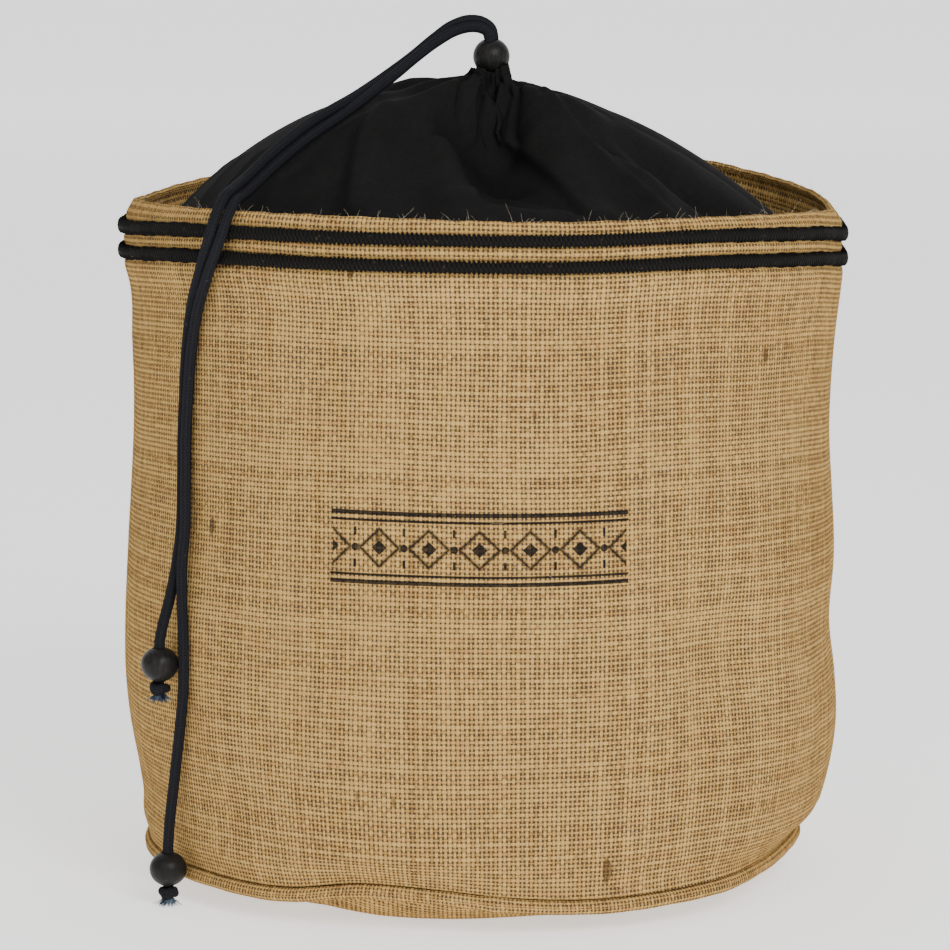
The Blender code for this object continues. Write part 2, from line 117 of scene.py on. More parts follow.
GROOVE_DEPTH, GROOVE_WIDTH = 2.1, 3.2
WALL_FOLDS = [  # name, angle, level, width in degrees, height of the fold, how far it stands out
    ("front right valley", 39, 105, 8, 45, -3.0),
    ("front right bulge", 58, 100, 10, 45, 2.0),
    ("dent by the piping join", 6, 36, 9, 18, -2.2),
    ("front left bulge", -30, 70, 14, 40, 1.2),
    ("left dent", -72, 36, 9, 14, -0.8),
    ("back right valley", 152, 120, 9, 50, -3.2),
    ("back bulge", 172, 90, 12, 45, 2.2),
    ("back left dent", -138, 60, 10, 30, -2.4),
    ("back left roll", -118, 150, 12, 60, 1.6),
]
WALL_CREASES = [  # the same for the small creases, which the solid leaves out
    ("crease right of the valley", 44, 118, 2.6, 26, -0.9),
    ("crease in the valley", 36, 84, 2.2, 22, -0.8),
    ("right edge crease", 70, 74, 2.4, 20, -0.9),
    ("right edge roll", 76, 122, 3.0, 18, 0.7),
    ("side seam ridge", SEAM_ANGLE, 110, 1.5, 90, 0.9),
    ("upper right slack", 62, 236, 7.0, 10, -0.8),
    ("front slack", -6, 104, 12, 16, -0.7),
    ("left slack", -44, 44, 5.0, 14, -0.9),
    ("foot crease left", -36, 27, 2.6, 8, -0.9),
    ("foot crease middle", 14, 26, 3.0, 8, -0.9),
    ("foot crease right", 28, 24, 2.4, 7, -0.7),
]
NECK_X, NECK_Y = 3.4, -3.0
NECK_RADIUS, EDGE_RADIUS = 9.0, 130.0
COLLAR_RADIUS = 9.6
NECK_RISE, NECK_SPREAD = 5.0, 16.0  # how far the gathers lift the cloth at its neck, and how far out they reach
DOME = [  # angle, edge height, crown height, fullness
    (-180, 274, 321.6, 1.80),
    (-135, 272, 322.8, 2.05),
    (-90, 268, 324.6, 2.30),
    (-60, 269, 324.2, 2.25),
    (-38, 269, 324.0, 2.00),
    (-25, 270, 323.4, 1.45),
    (-12, 272, 322.4, 1.00),
    (3, 274, 322.0, 0.54),
    (14, 273, 322.0, 0.62),
    (22, 271, 322.2, 0.86),
    (31, 269, 322.4, 1.25),
    (45, 266, 322.4, 1.75),
    (62, 264, 322.4, 1.90),
    (90, 262, 321.8, 1.85),
    (135, 268, 321.6, 1.80),
]
CLOSURE_FOLDS = [  # name, (angle, radius) along it, width, how far it stands out
    ("pressed in under the drawcord", [(-78, 36), (-58, 62), (-52, 96)], 9, -2.0),
    ("left ridge", [(-40, 66), (-22, 127)], 9, 5.5),
    ("left lobe's foot", [(-30, 72), (-14, 60), (-2, 24)], 9, -7.0),
    ("hollow's left edge", [(-15, 66), (-5, 122)], 9, 5.0),
    ("roll across the hollow", [(-2, 108), (16, 124)], 9, 4.0),
    ("middle ridge", [(38, 22), (27, 60), (24, 122)], 9, 5.0),
    ("right ridge", [(47, 46), (45, 72), (38, 126)], 8, 4.5),
    ("right valley", [(48, 74), (50, 94), (56, 126)], 9, -7.0),
    ("back ridge", [(150, 20), (158, 120)], 11, 5.0),
    ("back valley", [(-158, 40), (-170, 124)], 11, -5.5),
    ("back left ridge", [(-118, 30), (-126, 118)], 10, 3.5),
    ("back right valley", [(112, 44), (118, 124)], 10, -4.5),
]
PLEATS, PLEAT_HEIGHT, PLEAT_REACH = 9, 2.1, 50.0
GATHERS, GATHER_DEPTH, GATHER_REACH = 23, 2.5, 32.0
CLOSURE_CREASES = [  # name, (angle, radius) along it, width to its left and right, how far it stands out
    ("edge of the left facet", [(-35, 20), (-37, 43), (-40, 60), (-38, 77), (-31, 97), (-25, 120)], 2.4, 8.0, 2.6),
    ("valley beside it", [(-45, 62), (-42, 80), (-35, 100), (-31, 122)], 3.0, 5.0, -2.4),
    ("fill left of the lobe's foot", [(-40, 78), (-28, 72), (-19, 65), (-16, 58)], 8.0, 8.0, 5.2),
    ("crease under the left lobe", [(-30, 71), (-25, 76), (-18, 74), (-14, 68)], 1.1, 1.6, -1.3),
    ("edge over the hollow", [(-18, 61), (-9, 74), (-4.5, 89), (-2, 108), (-1, 122)], 5.0, 1.5, 2.6),
    ("bottom of the hollow", [(1, 34), (5, 58), (8, 90)], 10.0, 12.0, -7.0),
    ("low roll in the hollow", [(-2, 100), (5, 94), (12, 104), (16, 120)], 3.0, 2.4, 1.8),
    ("fold right of the hollow", [(-1, 18), (10, 27), (15, 43), (18, 58), (20, 80), (20, 120)], 1.5, 7.0, 3.0),
    ("puff", [(28, 36), (24, 46), (24, 58)], 5.0, 5.0, 2.2),
    ("crease over the puff", [(56, 17), (39, 31), (34, 42)], 1.2, 2.2, -1.8),
    ("ridge on the right", [(40, 34), (36, 62), (36, 86), (37, 122)], 6.0, 1.7, 2.8),
    ("valley on the right", [(40, 78), (42, 92), (49, 100), (56, 110), (60, 122)], 1.8, 6.0, -3.4),
    ("pull to the left rim", [(-70, 96), (-66, 110), (-62, 124)], 1.6, 2.2, 0.9),
    ("second pull", [(-80, 100), (-75, 112), (-70, 124)], 1.6, 2.2, 0.9),
    ("third pull", [(-88, 104), (-84, 122)], 1.6, 2.4, 0.8),
    ("facet's middle", [(-22, 82), (-17, 122)], 4.0, 5.0, 0.7),
    ("right slack", [(66, 60), (74, 92), (80, 120)], 5.0, 7.0, -1.4),
    ("right pull", [(58, 30), (64, 70)], 2.4, 4.0, 1.0),
    ("back pull", [(140, 20), (138, 70), (132, 118)], 2.4, 5.0, 2.2),
    ("back crease", [(176, 24), (168, 70), (172, 118)], 4.0, 2.0, -2.4),
    ("back left pull", [(-142, 24), (-148, 76), (-146, 120)], 2.4, 5.0, 2.0),
    ("left back crease", [(-100, 24), (-104, 70), (-108, 118)], 4.0, 2.2, -1.8),
    ("right back crease", [(98, 26), (102, 74), (100, 120)], 2.2, 4.0, -1.8),
    ("outer left pleat", [(-84, 9), (-72, 18), (-60, 34)], 1.2, 1.6, -1.8),
    ("dark pleat on the left", [(-64, 9), (-46, 14), (-35, 20), (-26, 28), (-20, 37)], 1.0, 1.7, -3.0),
    ("left lobe", [(-32, 9), (-26, 16), (-20, 26)], 2.6, 2.4, 1.2),
    ("lip of the left lobe", [(-16, 9), (-16, 12), (-19, 15), (-19, 18), (-14, 25), (-9, 34), (-13, 48)], 1.6, 0.9, 1.8),
    ("channel beside the lip", [(-4, 9), (-6, 12), (-8, 14), (-10, 17), (-6, 25), (2, 36)], 1.0, 1.5, -3.0),
    ("petal", [(60, 9), (30, 12), (14, 16), (8, 22), (10, 30)], 1.6, 2.2, 1.8),
    ("edge of the petal", [(40, 9), (20, 10), (7, 11.5), (3, 14)], 0.8, 0.7, -2.0),
    ("line in the petal", [(52, 11), (34, 14), (24, 18), (20, 24)], 1.0, 1.4, -1.1),
    ("dark pleat on the right", [(66, 9), (52, 14), (35, 20), (23, 29), (17, 38), (17, 48)], 0.9, 1.7, -3.2),
    ("outer right pleat", [(80, 9), (66, 16), (56, 26)], 1.0, 1.4, -1.8),
    ("last right pleat", [(100, 9), (84, 20), (72, 34)], 1.2, 1.8, -1.6),
]
PAIR = [  # x, y, z of the pair's middle, then its turn: 0 side by side seen from the front, 90 the short one behind
    (3.4, -3.0, 324.0, 68),
    (3.4, -3.0, 342.9, 68),
    (2.5, -3.0, 346.2, 62),
    (-0.8, -3.0, 348.4, 54),
    (-5.4, -3.0, 348.9, 50),
    (-11.8, -3.5, 347.1, 56),
    (-19.0, -5.5, 342.6, 68),
    (-27.8, -10.0, 335.9, 76),
    (-36.3, -15.5, 329.4, 68),
    (-43.8, -24.0, 324.1, 60),
    (-50.8, -34.0, 319.4, 48),
    (-59.4, -43.0, 314.2, 24),
    (-67.6, -51.0, 309.3, 8),
    (-76.0, -59.0, 303.2, 2),
    (-84.0, -68.0, 296.6, 0),
    (-91.4, -82.0, 289.8, 2),
    (-96.0, -96.0, 286.2, 4),
    (-98.2, -105.2, 284.6, 8),
    (-100.8, -112.0, 279.0, 12),
    (-103.0, -114.2, 272.2, 18),
    (-105.4, -112.2, 265.0, 30),
    (-108.3, -106.8, 256.4, 42),
    (-112.4, -97.8, 242.4, 52),
    (-115.3, -92.5, 223.9, 62),
    (-116.7, -90.5, 205.5, 68),
    (-117.6, -90.0, 188.7, 70),
    (-117.8, -90.9, 173.0, 70),
    (-118.3, -91.9, 153.2, 66),
]
LONG_END = [  # x, y, z of the long strand below the pair, down to its bead
    (-118.6, -93.0, 141.0),
    (-118.8, -93.8, 125.3),
    (-118.3, -94.9, 107.4),
    (-118.6, -94.6, 89.6),
    (-120.6, -90.6, 71.0),
    (-123.2, -85.2, 50.8),
    (-125.2, -81.8, 35.0),
    (-126.1, -82.0, 14.9),
]
SHORT_END = [  # the same for the short strand
    (-121.2, -88.6, 139.0),
    (-124.4, -88.6, 124.0),
    (-127.0, -90.4, 114.0),
    (-127.9, -92.0, 99.8),
]
SHORT_LENGTH, LONG_LENGTH = 0.400, 0.475  # of the free strands, from the mouth of the closure
PAIR_SPACING = 4.5 * MM
CORD_DIAMETER = 4.3 * MM
BEAD_WIDTH = 15.0 * MM
END_BEAD_HEIGHT = 14.0 * MM
TOGGLE_HEIGHT = 335.6
PIPING_RADIUS = 3.0
RIM_CORD_RADIUS, RIM_CORD_WIDTH, RIM_CORD_DEPTH = 148.2, 5.0, 3.2
RIM_CORD_PITCH = 10.1
STITCHES = 512  # round the rim
GAP = 0.35


def smooth(at, knots, values):
    """A curve through (knots, values) with an even slope at each knot: a cubic between each two."""
    at, knots, values = np.asarray(at, float), np.asarray(knots, float), np.asarray(values, float)
    slopes = np.gradient(values, knots)
    i = np.clip(np.searchsorted(knots, at, side="right") - 1, 0, len(knots) - 2)
    step = knots[i + 1] - knots[i]
    t = np.clip((at - knots[i]) / step, 0, 1)
    rise = 3 * t**2 - 2 * t**3
    lead = (t**3 - 2 * t**2 + t) * step * slopes[i]
    trail = (t**3 - t**2) * step * slopes[i + 1]
    return values[i] * (1 - rise) + values[i + 1] * rise + lead + trail


def around(angle, table, column):
    """The value of a table's column at an angle, carried smoothly round the sack."""
    knots = [row[0] for row in table]
    values = [row[column] for row in table]
    knots = [knots[-2] - 360, knots[-1] - 360, *knots, knots[0] + 360, knots[1] + 360]
    values = [values[-2], values[-1], *values, values[0], values[1]]
    return smooth((np.asarray(angle) + 180) % 360 - 180, knots, values)


def polar(angle, radius, height):
    """Points in metres from an angle, a radius and a height in millimetres."""
    turn = np.radians(angle) + 0 * radius
    return np.stack([radius * np.sin(turn), -radius * np.cos(turn), height + 0 * turn], axis=-1) * MM


def angle_between(a, b):
    return (a - b + 180) % 360 - 180


def upper_cord(angle):
    return around(angle, RIM, 1) - around(angle, RIM, 2)


def lower_cord(angle):
    return upper_cord(angle) - RIM_CORD_PITCH


def wall_height(angle, level):
    """The height of a level: a straight run between each two of the marks that the wall is stretched to."""
    low = lower_cord(angle)
    marks = [
        (LEVEL_SEAM, around(angle, SEAM, 2) + PIPING_RADIUS + GAP),
        (LEVEL_LOW, LEVEL_LOW + 0 * low),
        (LEVEL_HIGH, low - (LEVEL_LOWER - LEVEL_HIGH)),
        (LEVEL_LOWER, low),
        (LEVEL_UPPER, upper_cord(angle)),
        (LEVEL_RIM, around(angle, RIM, 1)),
    ]
    height = marks[0][1]
    for (start, foot), (end, top) in zip(marks, marks[1:]):
        share = np.clip((level - start) / (end - start), 0, 1)
        height = np.where(level > start, foot + share * (top - foot), height)
    return height


def bumps(angle, level, folds):
    """Soft bumps, each a bell curve across the angle and up the wall."""
    out = 0 * (angle + level)
    for _, middle, centre, wide, tall, proud in folds:
        away = (angle_between(angle, middle) / wide) ** 2 + ((level - centre) / tall) ** 2
        out = out + proud * np.exp(-away)
    return out


def wall_radius(angle, level, fine=True):
    """The outside radius: an oval for each level, plus the folds, less the groove under each rim cord.

    The fine one also has the small creases and a slack that only ever sinks: a product of slow sines.
    """
    turn = np.radians(angle)
    levels = [row[0] for row in WALL]
    left, front, right, back = (smooth(level, levels, [row[k] for row in WALL]) for k in (1, 2, 3, 4))
    radius = (left + front + right + back) / 4
    radius = radius + (front - back) / 2 * np.cos(turn) + (right - left) / 2 * np.sin(turn)
    radius = radius + (front + back - right - left) / 4 * np.cos(2 * turn)
    radius = radius + bumps(angle, level, WALL_FOLDS)
    if fine:
        radius = radius + bumps(angle, level, WALL_CREASES)
        slack = np.sin(7 * turn + 0.021 * level + 1.3) * np.sin(0.052 * level + 3 * turn)
        slack = slack + 0.7 * np.sin(17 * turn - 0.013 * level) * np.sin(0.081 * level + 2.0)
        radius = radius - 0.32 * (1.4 + slack) * np.clip((LEVEL_HIGH - level) / 40, 0, 1)
    height = wall_height(angle, level)
    for cord in (upper_cord(angle), lower_cord(angle)):
        radius = radius - GROOVE_DEPTH * np.exp(-(((height - cord) / GROOVE_WIDTH) ** 2))
    to_seam = np.clip((LEVEL_LOW - level) / (LEVEL_LOW - LEVEL_SEAM), 0, 1) ** 2
    return radius * (1 - to_seam) + (around(angle, SEAM, 1) + 0.9) * to_seam


def from_line(angle, radius, line):
    """The distance in plan from a line of (angle, radius) points, which side of it, and how far along it.

    The side is -1 on its left and 1 on its right, and the way along it goes from 0 to 1.
    """
    turn = np.radians(angle)
    x, y = radius * np.sin(turn), -radius * np.cos(turn)
    points = [(r * math.sin(math.radians(a)), -r * math.cos(math.radians(a))) for a, r in line]
    nearest = np.full(np.shape(x), np.inf)
    side = np.ones(np.shape(x))
    way = np.zeros(np.shape(x))
    for k, ((x0, y0), (x1, y1)) in enumerate(zip(points, points[1:])):
        span = (x1 - x0) ** 2 + (y1 - y0) ** 2
        t = np.clip(((x - x0) * (x1 - x0) + (y - y0) * (y1 - y0)) / span, 0, 1)
        away = np.hypot(x - x0 - t * (x1 - x0), y - y0 - t * (y1 - y0))
        turned = (x1 - x0) * (y - y0) - (y1 - y0) * (x - x0)
        side = np.where(away < nearest, np.where(turned > 0, 1.0, -1.0), side)
        way = np.where(away < nearest, (k + t) / (len(points) - 1), way)
        nearest = np.minimum(nearest, away)
    return nearest, side, way


def gathers(angle):
    """How deep the sharp pleats by the neck sink: narrow valleys between round folds, unevenly spaced."""
    lead = np.radians(GATHERS * angle + 58 * np.sin(np.radians(2 * angle + 30)) + 34 * np.sin(np.radians(5 * angle)))
    deep = 0.75 + 0.35 * np.sin(np.radians(3 * angle + 20))
    return GATHER_DEPTH * deep * (1 - np.abs(np.sin(lead / 2))) ** 2


def dome_height(angle, radius):
    """The closure's height over a radius from its neck: crown less fall, plus the pleats and the folds.

    A fold is a bell curve across its line.
    """
    edge, crown, fullness = (around(angle, DOME, k) for k in (1, 2, 3))
    share = np.clip((radius - NECK_RADIUS) / (EDGE_RADIUS - NECK_RADIUS), 0, 1)
    height = crown - (crown - edge) * share**fullness
    height = height + NECK_RISE * np.clip(1 - (radius - NECK_RADIUS) / NECK_SPREAD, 0, 1) ** 2
    ramp = np.clip((radius - NECK_RADIUS) / 12, 0, 1) * np.clip(1 - radius / PLEAT_REACH, 0, 1)
    uneven = 22 * np.sin(np.radians(2 * angle + 40))
    height = height + 2 * PLEAT_HEIGHT * ramp * np.cos(np.radians(PLEATS * angle + uneven))
    folds = 0 * height
    for _, line, wide, out in CLOSURE_FOLDS:
        away, _, _ = from_line(angle, radius, line)
        folds = folds + out * np.exp(-((away / wide) ** 2))
    return height + folds * np.clip((radius - 16) / 20, 0, 1)


def creases(angle, radius):
    """How far the small creases push the closure off its main form, along its normals.

    A crease is a bell curve whose two sides each have a width of their own, so that one side can be steep. It fades
    towards an end that is neither at the mouth nor at the hem.
    """
    out = 0 * (angle + radius)
    for _, line, left, right, proud in CLOSURE_CREASES:
        away, side, way = from_line(angle, radius, line)
        wide = np.where(side > 0, right, left)
        fade = np.clip((1 - way) / 0.25, 0, 1)
        if line[0][1] > 10:
            fade = fade * np.clip(way / 0.2, 0, 1)
        out = out + proud * np.exp(-((away / wide) ** 1.6)) * np.where(line[-1][1] > 115, 1.0, fade)
    reach = GATHER_REACH + 9 * np.sin(np.radians(5 * angle)) + 5 * np.sin(np.radians(11 * angle))
    behind = 1 - 0.35 * np.exp(-((angle_between(angle, 4) / 84) ** 4))
    out = out - gathers(angle) * behind * np.clip((reach - radius) / 20, 0, 1)
    return out * np.clip((EDGE_RADIUS - radius) / 10, 0, 1)


# ---------------------------------------------------------------- meshes


def skin(name, points, uv, closed_rows=False, caps=False):
    """A mesh on a grid of points, closed round its columns. Its face (i, j) joins rows i, i + 1 and columns j, j + 1.

    uv has a row and a column more than points where the grid is closed that way.
    """
    rows, columns = points.shape[:2]
    i, j = np.meshgrid(np.arange(rows if closed_rows else rows - 1), np.arange(columns), indexing="ij")
    up, along = (i + 1) % rows, (j + 1) % columns
    corners = np.stack([i * columns + j, i * columns + along, up * columns + along, up * columns + j], axis=-1)
    coords = np.stack([uv[i, j], uv[i, j + 1], uv[i + 1, j + 1], uv[i + 1, j]], axis=2)
    faces = corners.reshape(-1, 4).tolist()
    loops = coords.reshape(-1, 2)
    if caps:
        faces += [list(range(columns - 1, -1, -1)), list(range((rows - 1) * columns, rows * columns))]
        loops = np.concatenate([loops, np.zeros((columns, 2)), np.tile(uv[-1, :1], (columns, 1))])
    mesh = bpy.data.meshes.new(name)
    mesh.from_pydata(points.reshape(-1, 3).tolist(), [], faces)
    mesh.uv_layers.new(name="cloth").data.foreach_set("uv", loops.reshape(-1).astype(np.float32))
    mesh.shade_smooth()
    made = bpy.data.objects.new(name, mesh)
    bpy.context.scene.collection.objects.link(made)
    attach(made, "root")
    return made


def ring(name, radius, height, half_depth, half_width, columns, sides):
    """A closed tube round the sack: an oval section carried along the line that radius and height give."""
    angle = SEAM_ANGLE - 360 + 360 * np.arange(columns) / columns
    turn = 2 * np.pi * np.arange(sides)[:, None] / sides
    points = polar(
        angle + 0 * turn,
        radius(angle) + half_depth(angle) * np.cos(turn),
        height(angle) + half_width(angle) * np.sin(turn),
    )
    along = np.radians(np.append(angle, SEAM_ANGLE)) * MEAN_RADIUS + 0 * np.zeros((sides + 1, 1))
    girth = np.linspace(0, math.pi * (half_depth(0) + half_width(0)) * MM, sides + 1)[:, None]
    uv = np.stack([along, girth + 0 * along], axis=-1)
    return skin(name, points, uv, closed_rows=True)


def tube(name, path, radius, sides):
    """A round tube along a path: each ring lies across the path, and its start is carried along without a twist."""
    path = np.asarray(path, float)
    ahead = np.gradient(path, axis=0)
    ahead /= np.linalg.norm(ahead, axis=1, keepdims=True)
    across = np.empty_like(path)
    start = np.cross(ahead[0], [0.0, 1.0, 0.0])
    for k, way in enumerate(ahead):
        start = start - way * np.dot(start, way)
        start = start / np.linalg.norm(start)
        across[k] = start
    beside = np.cross(ahead, across)
    turn = 2 * np.pi * np.arange(sides) / sides
    girth = np.asarray(radius + 0 * path[:, 0])[:, None, None]
    offset = across[:, None] * np.cos(turn)[None, :, None] + beside[:, None] * np.sin(turn)[None, :, None]
    points = path[:, None] + girth * offset
    length = np.concatenate([[0], np.cumsum(np.linalg.norm(np.diff(path, axis=0), axis=1))])
    share = np.linspace(0, 1, sides + 1)[None, :]
    uv = np.stack([share + 0 * length[:, None], length[:, None] + 0 * share], axis=-1)
    return skin(name, points, uv, caps=True)


def fibres(name, starts, ways, lengths, curls, width):
    """Fine three-sided hairs. Each leaves its start along its way and bends evenly by its curl, thinning to a tip."""
    steps = np.linspace(0, 1, 6)[None, :, None]
    path = starts[:, None] + lengths[:, None, None] * (ways[:, None] * steps + curls[:, None] * steps**2)
    ahead = np.gradient(path, axis=1)
    ahead /= np.linalg.norm(ahead, axis=2, keepdims=True)
    across = np.cross(ahead, np.array([0.31, 0.52, 0.79]))
    across /= np.linalg.norm(across, axis=2, keepdims=True)
    beside = np.cross(ahead, across)
    turn = 2 * np.pi * np.arange(3) / 3
    thin = width / 2 * (1 - 0.6 * steps)[:, :, None]
    offset = across[:, :, None] * np.cos(turn)[:, None] + beside[:, :, None] * np.sin(turn)[:, None]
    points = path[:, :, None] + thin * offset
    count, rows = len(starts), steps.shape[1]
    i, j = np.meshgrid(np.arange(rows - 1), np.arange(3), indexing="ij")
    one = np.stack([i * 3 + j, i * 3 + (j + 1) % 3, (i + 1) * 3 + (j + 1) % 3, (i + 1) * 3 + j], axis=-1)
    shift = 3 * rows * np.arange(count)[:, None, None]
    sides = (one.reshape(1, -1, 4) + shift).reshape(-1, 4).tolist()
    ends = np.array([[2, 1, 0], [3 * rows - 3, 3 * rows - 2, 3 * rows - 1]])
    ends = (ends[None] + shift).reshape(-1, 3).tolist()
    mesh = bpy.data.meshes.new(name)
    mesh.from_pydata(points.reshape(-1, 3).tolist(), [], sides + ends)
    mesh.shade_smooth()
    made = bpy.data.objects.new(name, mesh)
    bpy.context.scene.collection.objects.link(made)
    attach(made, "root")
    return made


# ---------------------------------------------------------------- materials


def connect(tree, value, place):
    """Gives an input its value, or joins it to a node's output."""
    if isinstance(value, Wire):
        value = value.socket
    if isinstance(value, bpy.types.NodeSocket):
        tree.links.new(value, place)
    else:
        place.default_value = value


class Wire:
    """A node's output that takes part in sums: a * b + c adds the Math nodes that work it out."""

    def __init__(self, tree, socket):
        self.tree = tree
        self.socket = socket

    def through(self, operation, *others):
        node = self.tree.nodes.new("ShaderNodeMath")
        node.operation = operation
        for place, value in zip(node.inputs, (self, *others)):
            connect(self.tree, value, place)
        return Wire(self.tree, node.outputs[0])

    def __add__(self, other):
        return self.through("ADD", other)

    def __sub__(self, other):
        return self.through("SUBTRACT", other)

    def __mul__(self, other):
        return self.through("MULTIPLY", other)

    def __truediv__(self, other):
        return self.through("DIVIDE", other)

    __radd__ = __add__
    __rmul__ = __mul__

    def less_from(self, other):
        return (self * -1.0) + other

    def floor(self):
        return self.through("FLOOR")

    def fraction(self):
        return self.through("FRACT")

    def size(self):
        return self.through("ABSOLUTE")

    def root(self):
        return self.through("MAXIMUM", 0.0).through("SQRT")

    def cosine(self):
        return self.through("COSINE")

    def greatest(self, other):
        return self.through("MAXIMUM", other)

    def least(self, other):
        return self.through("MINIMUM", other)

    def above(self, other):
        return self.through("GREATER_THAN", other)

    def ramp(self, low, high, start=0.0, end=1.0):
        """Eases from start to end as the value goes from low to high."""
        node = self.tree.nodes.new("ShaderNodeMapRange")
        node.interpolation_type = "SMOOTHSTEP"
        for place, value in zip(node.inputs, (self, low, high, start, end)):
            connect(self.tree, value, place)
        return Wire(self.tree, node.outputs[0])


class Board:
    """Adds nodes to a tree."""

    def __init__(self, tree):
        self.tree = tree

    def node(self, kind, values=(), **settings):
        made = self.tree.nodes.new(kind)
        for key, value in settings.items():
            setattr(made, key, value)
        for key, value in dict(values).items():
            connect(self.tree, value, made.inputs[key])
        return made

    def wire(self, node, output=0):
        return Wire(self.tree, node.outputs[output])

    def cloth(self):
        """The piece's own flat coordinates."""
        return self.wire(self.node("ShaderNodeUVMap", uv_map="cloth"))

    def place(self):
        return self.wire(self.node("ShaderNodeTexCoord"), "Object")

    def split(self, vector):
        node = self.node("ShaderNodeSeparateXYZ", {0: vector})
        return [self.wire(node, k) for k in range(3)]

    def join(self, x=0.0, y=0.0, z=0.0):
        return self.wire(self.node("ShaderNodeCombineXYZ", {0: x, 1: y, 2: z}))

    def noise(self, vector, scale, detail=2.0, roughness=0.5):
        values = {"Vector": vector, "Scale": scale, "Detail": detail, "Roughness": roughness}
        return self.wire(self.node("ShaderNodeTexNoise", values))

    def chance(self, seed):
        """A number from 0 to 1 that is steady for each whole seed."""
        return self.wire(self.node("ShaderNodeTexWhiteNoise", {"W": seed}, noise_dimensions="1D"))

    def mix(self, share, first, second, blend="MIX"):
        values = {0: share, 6: first, 7: second}
        return self.wire(self.node("ShaderNodeMix", values, data_type="RGBA", blend_type=blend), 2)

    def bump(self, height, distance, strength=1.0, normal=None):
        values = {"Height": height, "Distance": distance, "Strength": strength}
        if normal is not None:
            values["Normal"] = normal
        return self.wire(self.node("ShaderNodeBump", values))


def new_group(name, inputs, outputs):
    """An empty node group with (name, kind, default) inputs and (name, kind) outputs, and its two end nodes."""
    tree = bpy.data.node_groups.new(name, "ShaderNodeTree")
    for label, kind, default in inputs:
        socket = tree.interface.new_socket(name=label, in_out="INPUT", socket_type=kind)
        if default is not None:
            socket.default_value = default
    for label, kind in outputs:
        tree.interface.new_socket(name=label, in_out="OUTPUT", socket_type=kind)
    board = Board(tree)
    entry = board.node("NodeGroupInput")
    leave = board.node("NodeGroupOutput")
    return board, entry, leave


def weave_group():
    """Plain weave: two sets of yarns that pass over and under each other by turns.

    A yarn's height is a half circle across it, carried on a cosine that lifts it at every other crossing. The upper
    of the two shows, and where neither reaches there is a gap. Yarns wander, and each has its own width and shade.
    """
    if "Plain weave" in bpy.data.node_groups:
        return bpy.data.node_groups["Plain weave"]
    board, entry, leave = new_group(
        "Plain weave",
        [
            ("Vector", "NodeSocketVector", None),
            ("Warp Pitch", "NodeSocketFloat", 0.0019),
            ("Weft Pitch", "NodeSocketFloat", 0.0021),
            ("Fullness", "NodeSocketFloat", 0.8),
            ("Unevenness", "NodeSocketFloat", 1.0),
        ],
        [("Height", "NodeSocketFloat"), ("Gap", "NodeSocketFloat"), ("Shade", "NodeSocketFloat")],
    )
    given = {name: board.wire(entry, name) for name in ("Vector", "Warp Pitch", "Weft Pitch", "Fullness", "Unevenness")}
    x, y, _ = board.split(given["Vector"])
    slow = board.noise(given["Vector"], 14.0, 0.0)
    other = board.noise(board.join(y, x, 3.7), 16.0, 0.0)
    uneven = given["Unevenness"]
    a = x / given["Warp Pitch"] + (slow - 0.5) * 1.4 * uneven
    b = y / given["Weft Pitch"] + (other - 0.5) * uneven
    i, j = a.floor(), b.floor()
    across, along = a.fraction() - 0.5, b.fraction() - 0.5
    tops, shades = [], []
    sets = (
        (across, i, b, j, y, 11.3, 1.0, 1.0),
        (along, j, a, i, x, 5.9, -1.0, 0.94),
    )
    for off, own, run, crossing, length, seed, side, full in sets:
        luck = board.chance(own + seed)
        cell = board.chance(own * 7.13 + crossing * 1.37 + seed)
        slub = board.noise(board.join(own * 3.17 + seed, length * 150.0, seed), 1.0, 1.0)
        half = given["Fullness"] * full * 0.5 * ((luck - 0.5) * 0.42 * uneven + (slub - 0.5) * 1.25 * uneven + 1.0)
        lift = ((run - 0.5 - own) * math.pi).cosine() * side
        inside = (off / half).through("POWER", 2.0).less_from(1.0)
        height = (lift * 0.42 + inside.root() * 0.5 + 1.0) * inside.ramp(0.0, 0.35)
        tops.append(height)
        shades.append(luck * 0.34 + slub * 0.42 + cell * 0.24)
    upper = tops[0].above(tops[1])
    shade = shades[0] * upper + shades[1] * upper.less_from(1.0)
    top = tops[0].greatest(tops[1])
    connect(board.tree, top / 1.92, leave.inputs["Height"])
    connect(board.tree, top.ramp(0.05, 0.75, 1.0, 0.0), leave.inputs["Gap"])
    connect(board.tree, shade, leave.inputs["Shade"])
    return board.tree


def new_material(name):
    made = bpy.data.materials.new(name)
    made.use_nodes = True
    board = Board(made.node_tree)
    shader = made.node_tree.nodes["Principled BSDF"]
    return made, board, shader


def ornament(board, x, y):
    """The printed band, from millimetres off its middle: two double rules, and between them outlined lozenges with a
    solid heart and dots between, each lozenge where |x| / half width + |y| / half height comes to 1."""
    far = x.size()
    within = far.ramp(58.4, 58.8, 1.0, 0.0)
    tall = y.size()

    def stripe(value, low, high):
        return value.ramp(low - 0.15, low + 0.15) * value.ramp(high - 0.15, high + 0.15, 1.0, 0.0)

    rules = stripe(tall, 12.5, 14.2).greatest(stripe(tall, 10.0, 11.0)) * within
    pitch = 19.4
    near = x.through("PINGPONG", pitch / 2)
    lozenge = near / 6.8 + tall / 6.4
    marks = stripe(lozenge, 0.98, 1.26).greatest(lozenge.ramp(0.42, 0.48, 1.0, 0.0))
    dots = ((near.less_from(pitch / 2)).through("POWER", 2.0) + tall.through("POWER", 2.0)).ramp(1.9, 2.5, 1.0, 0.0)
    ticks = stripe(near.less_from(pitch / 2), -1.0, 0.55) * stripe(tall, 4.6, 7.8)
    row = marks.greatest(dots).greatest(ticks) * far.ramp(57.6, 57.9, 1.0, 0.0)
    return rules.greatest(row)


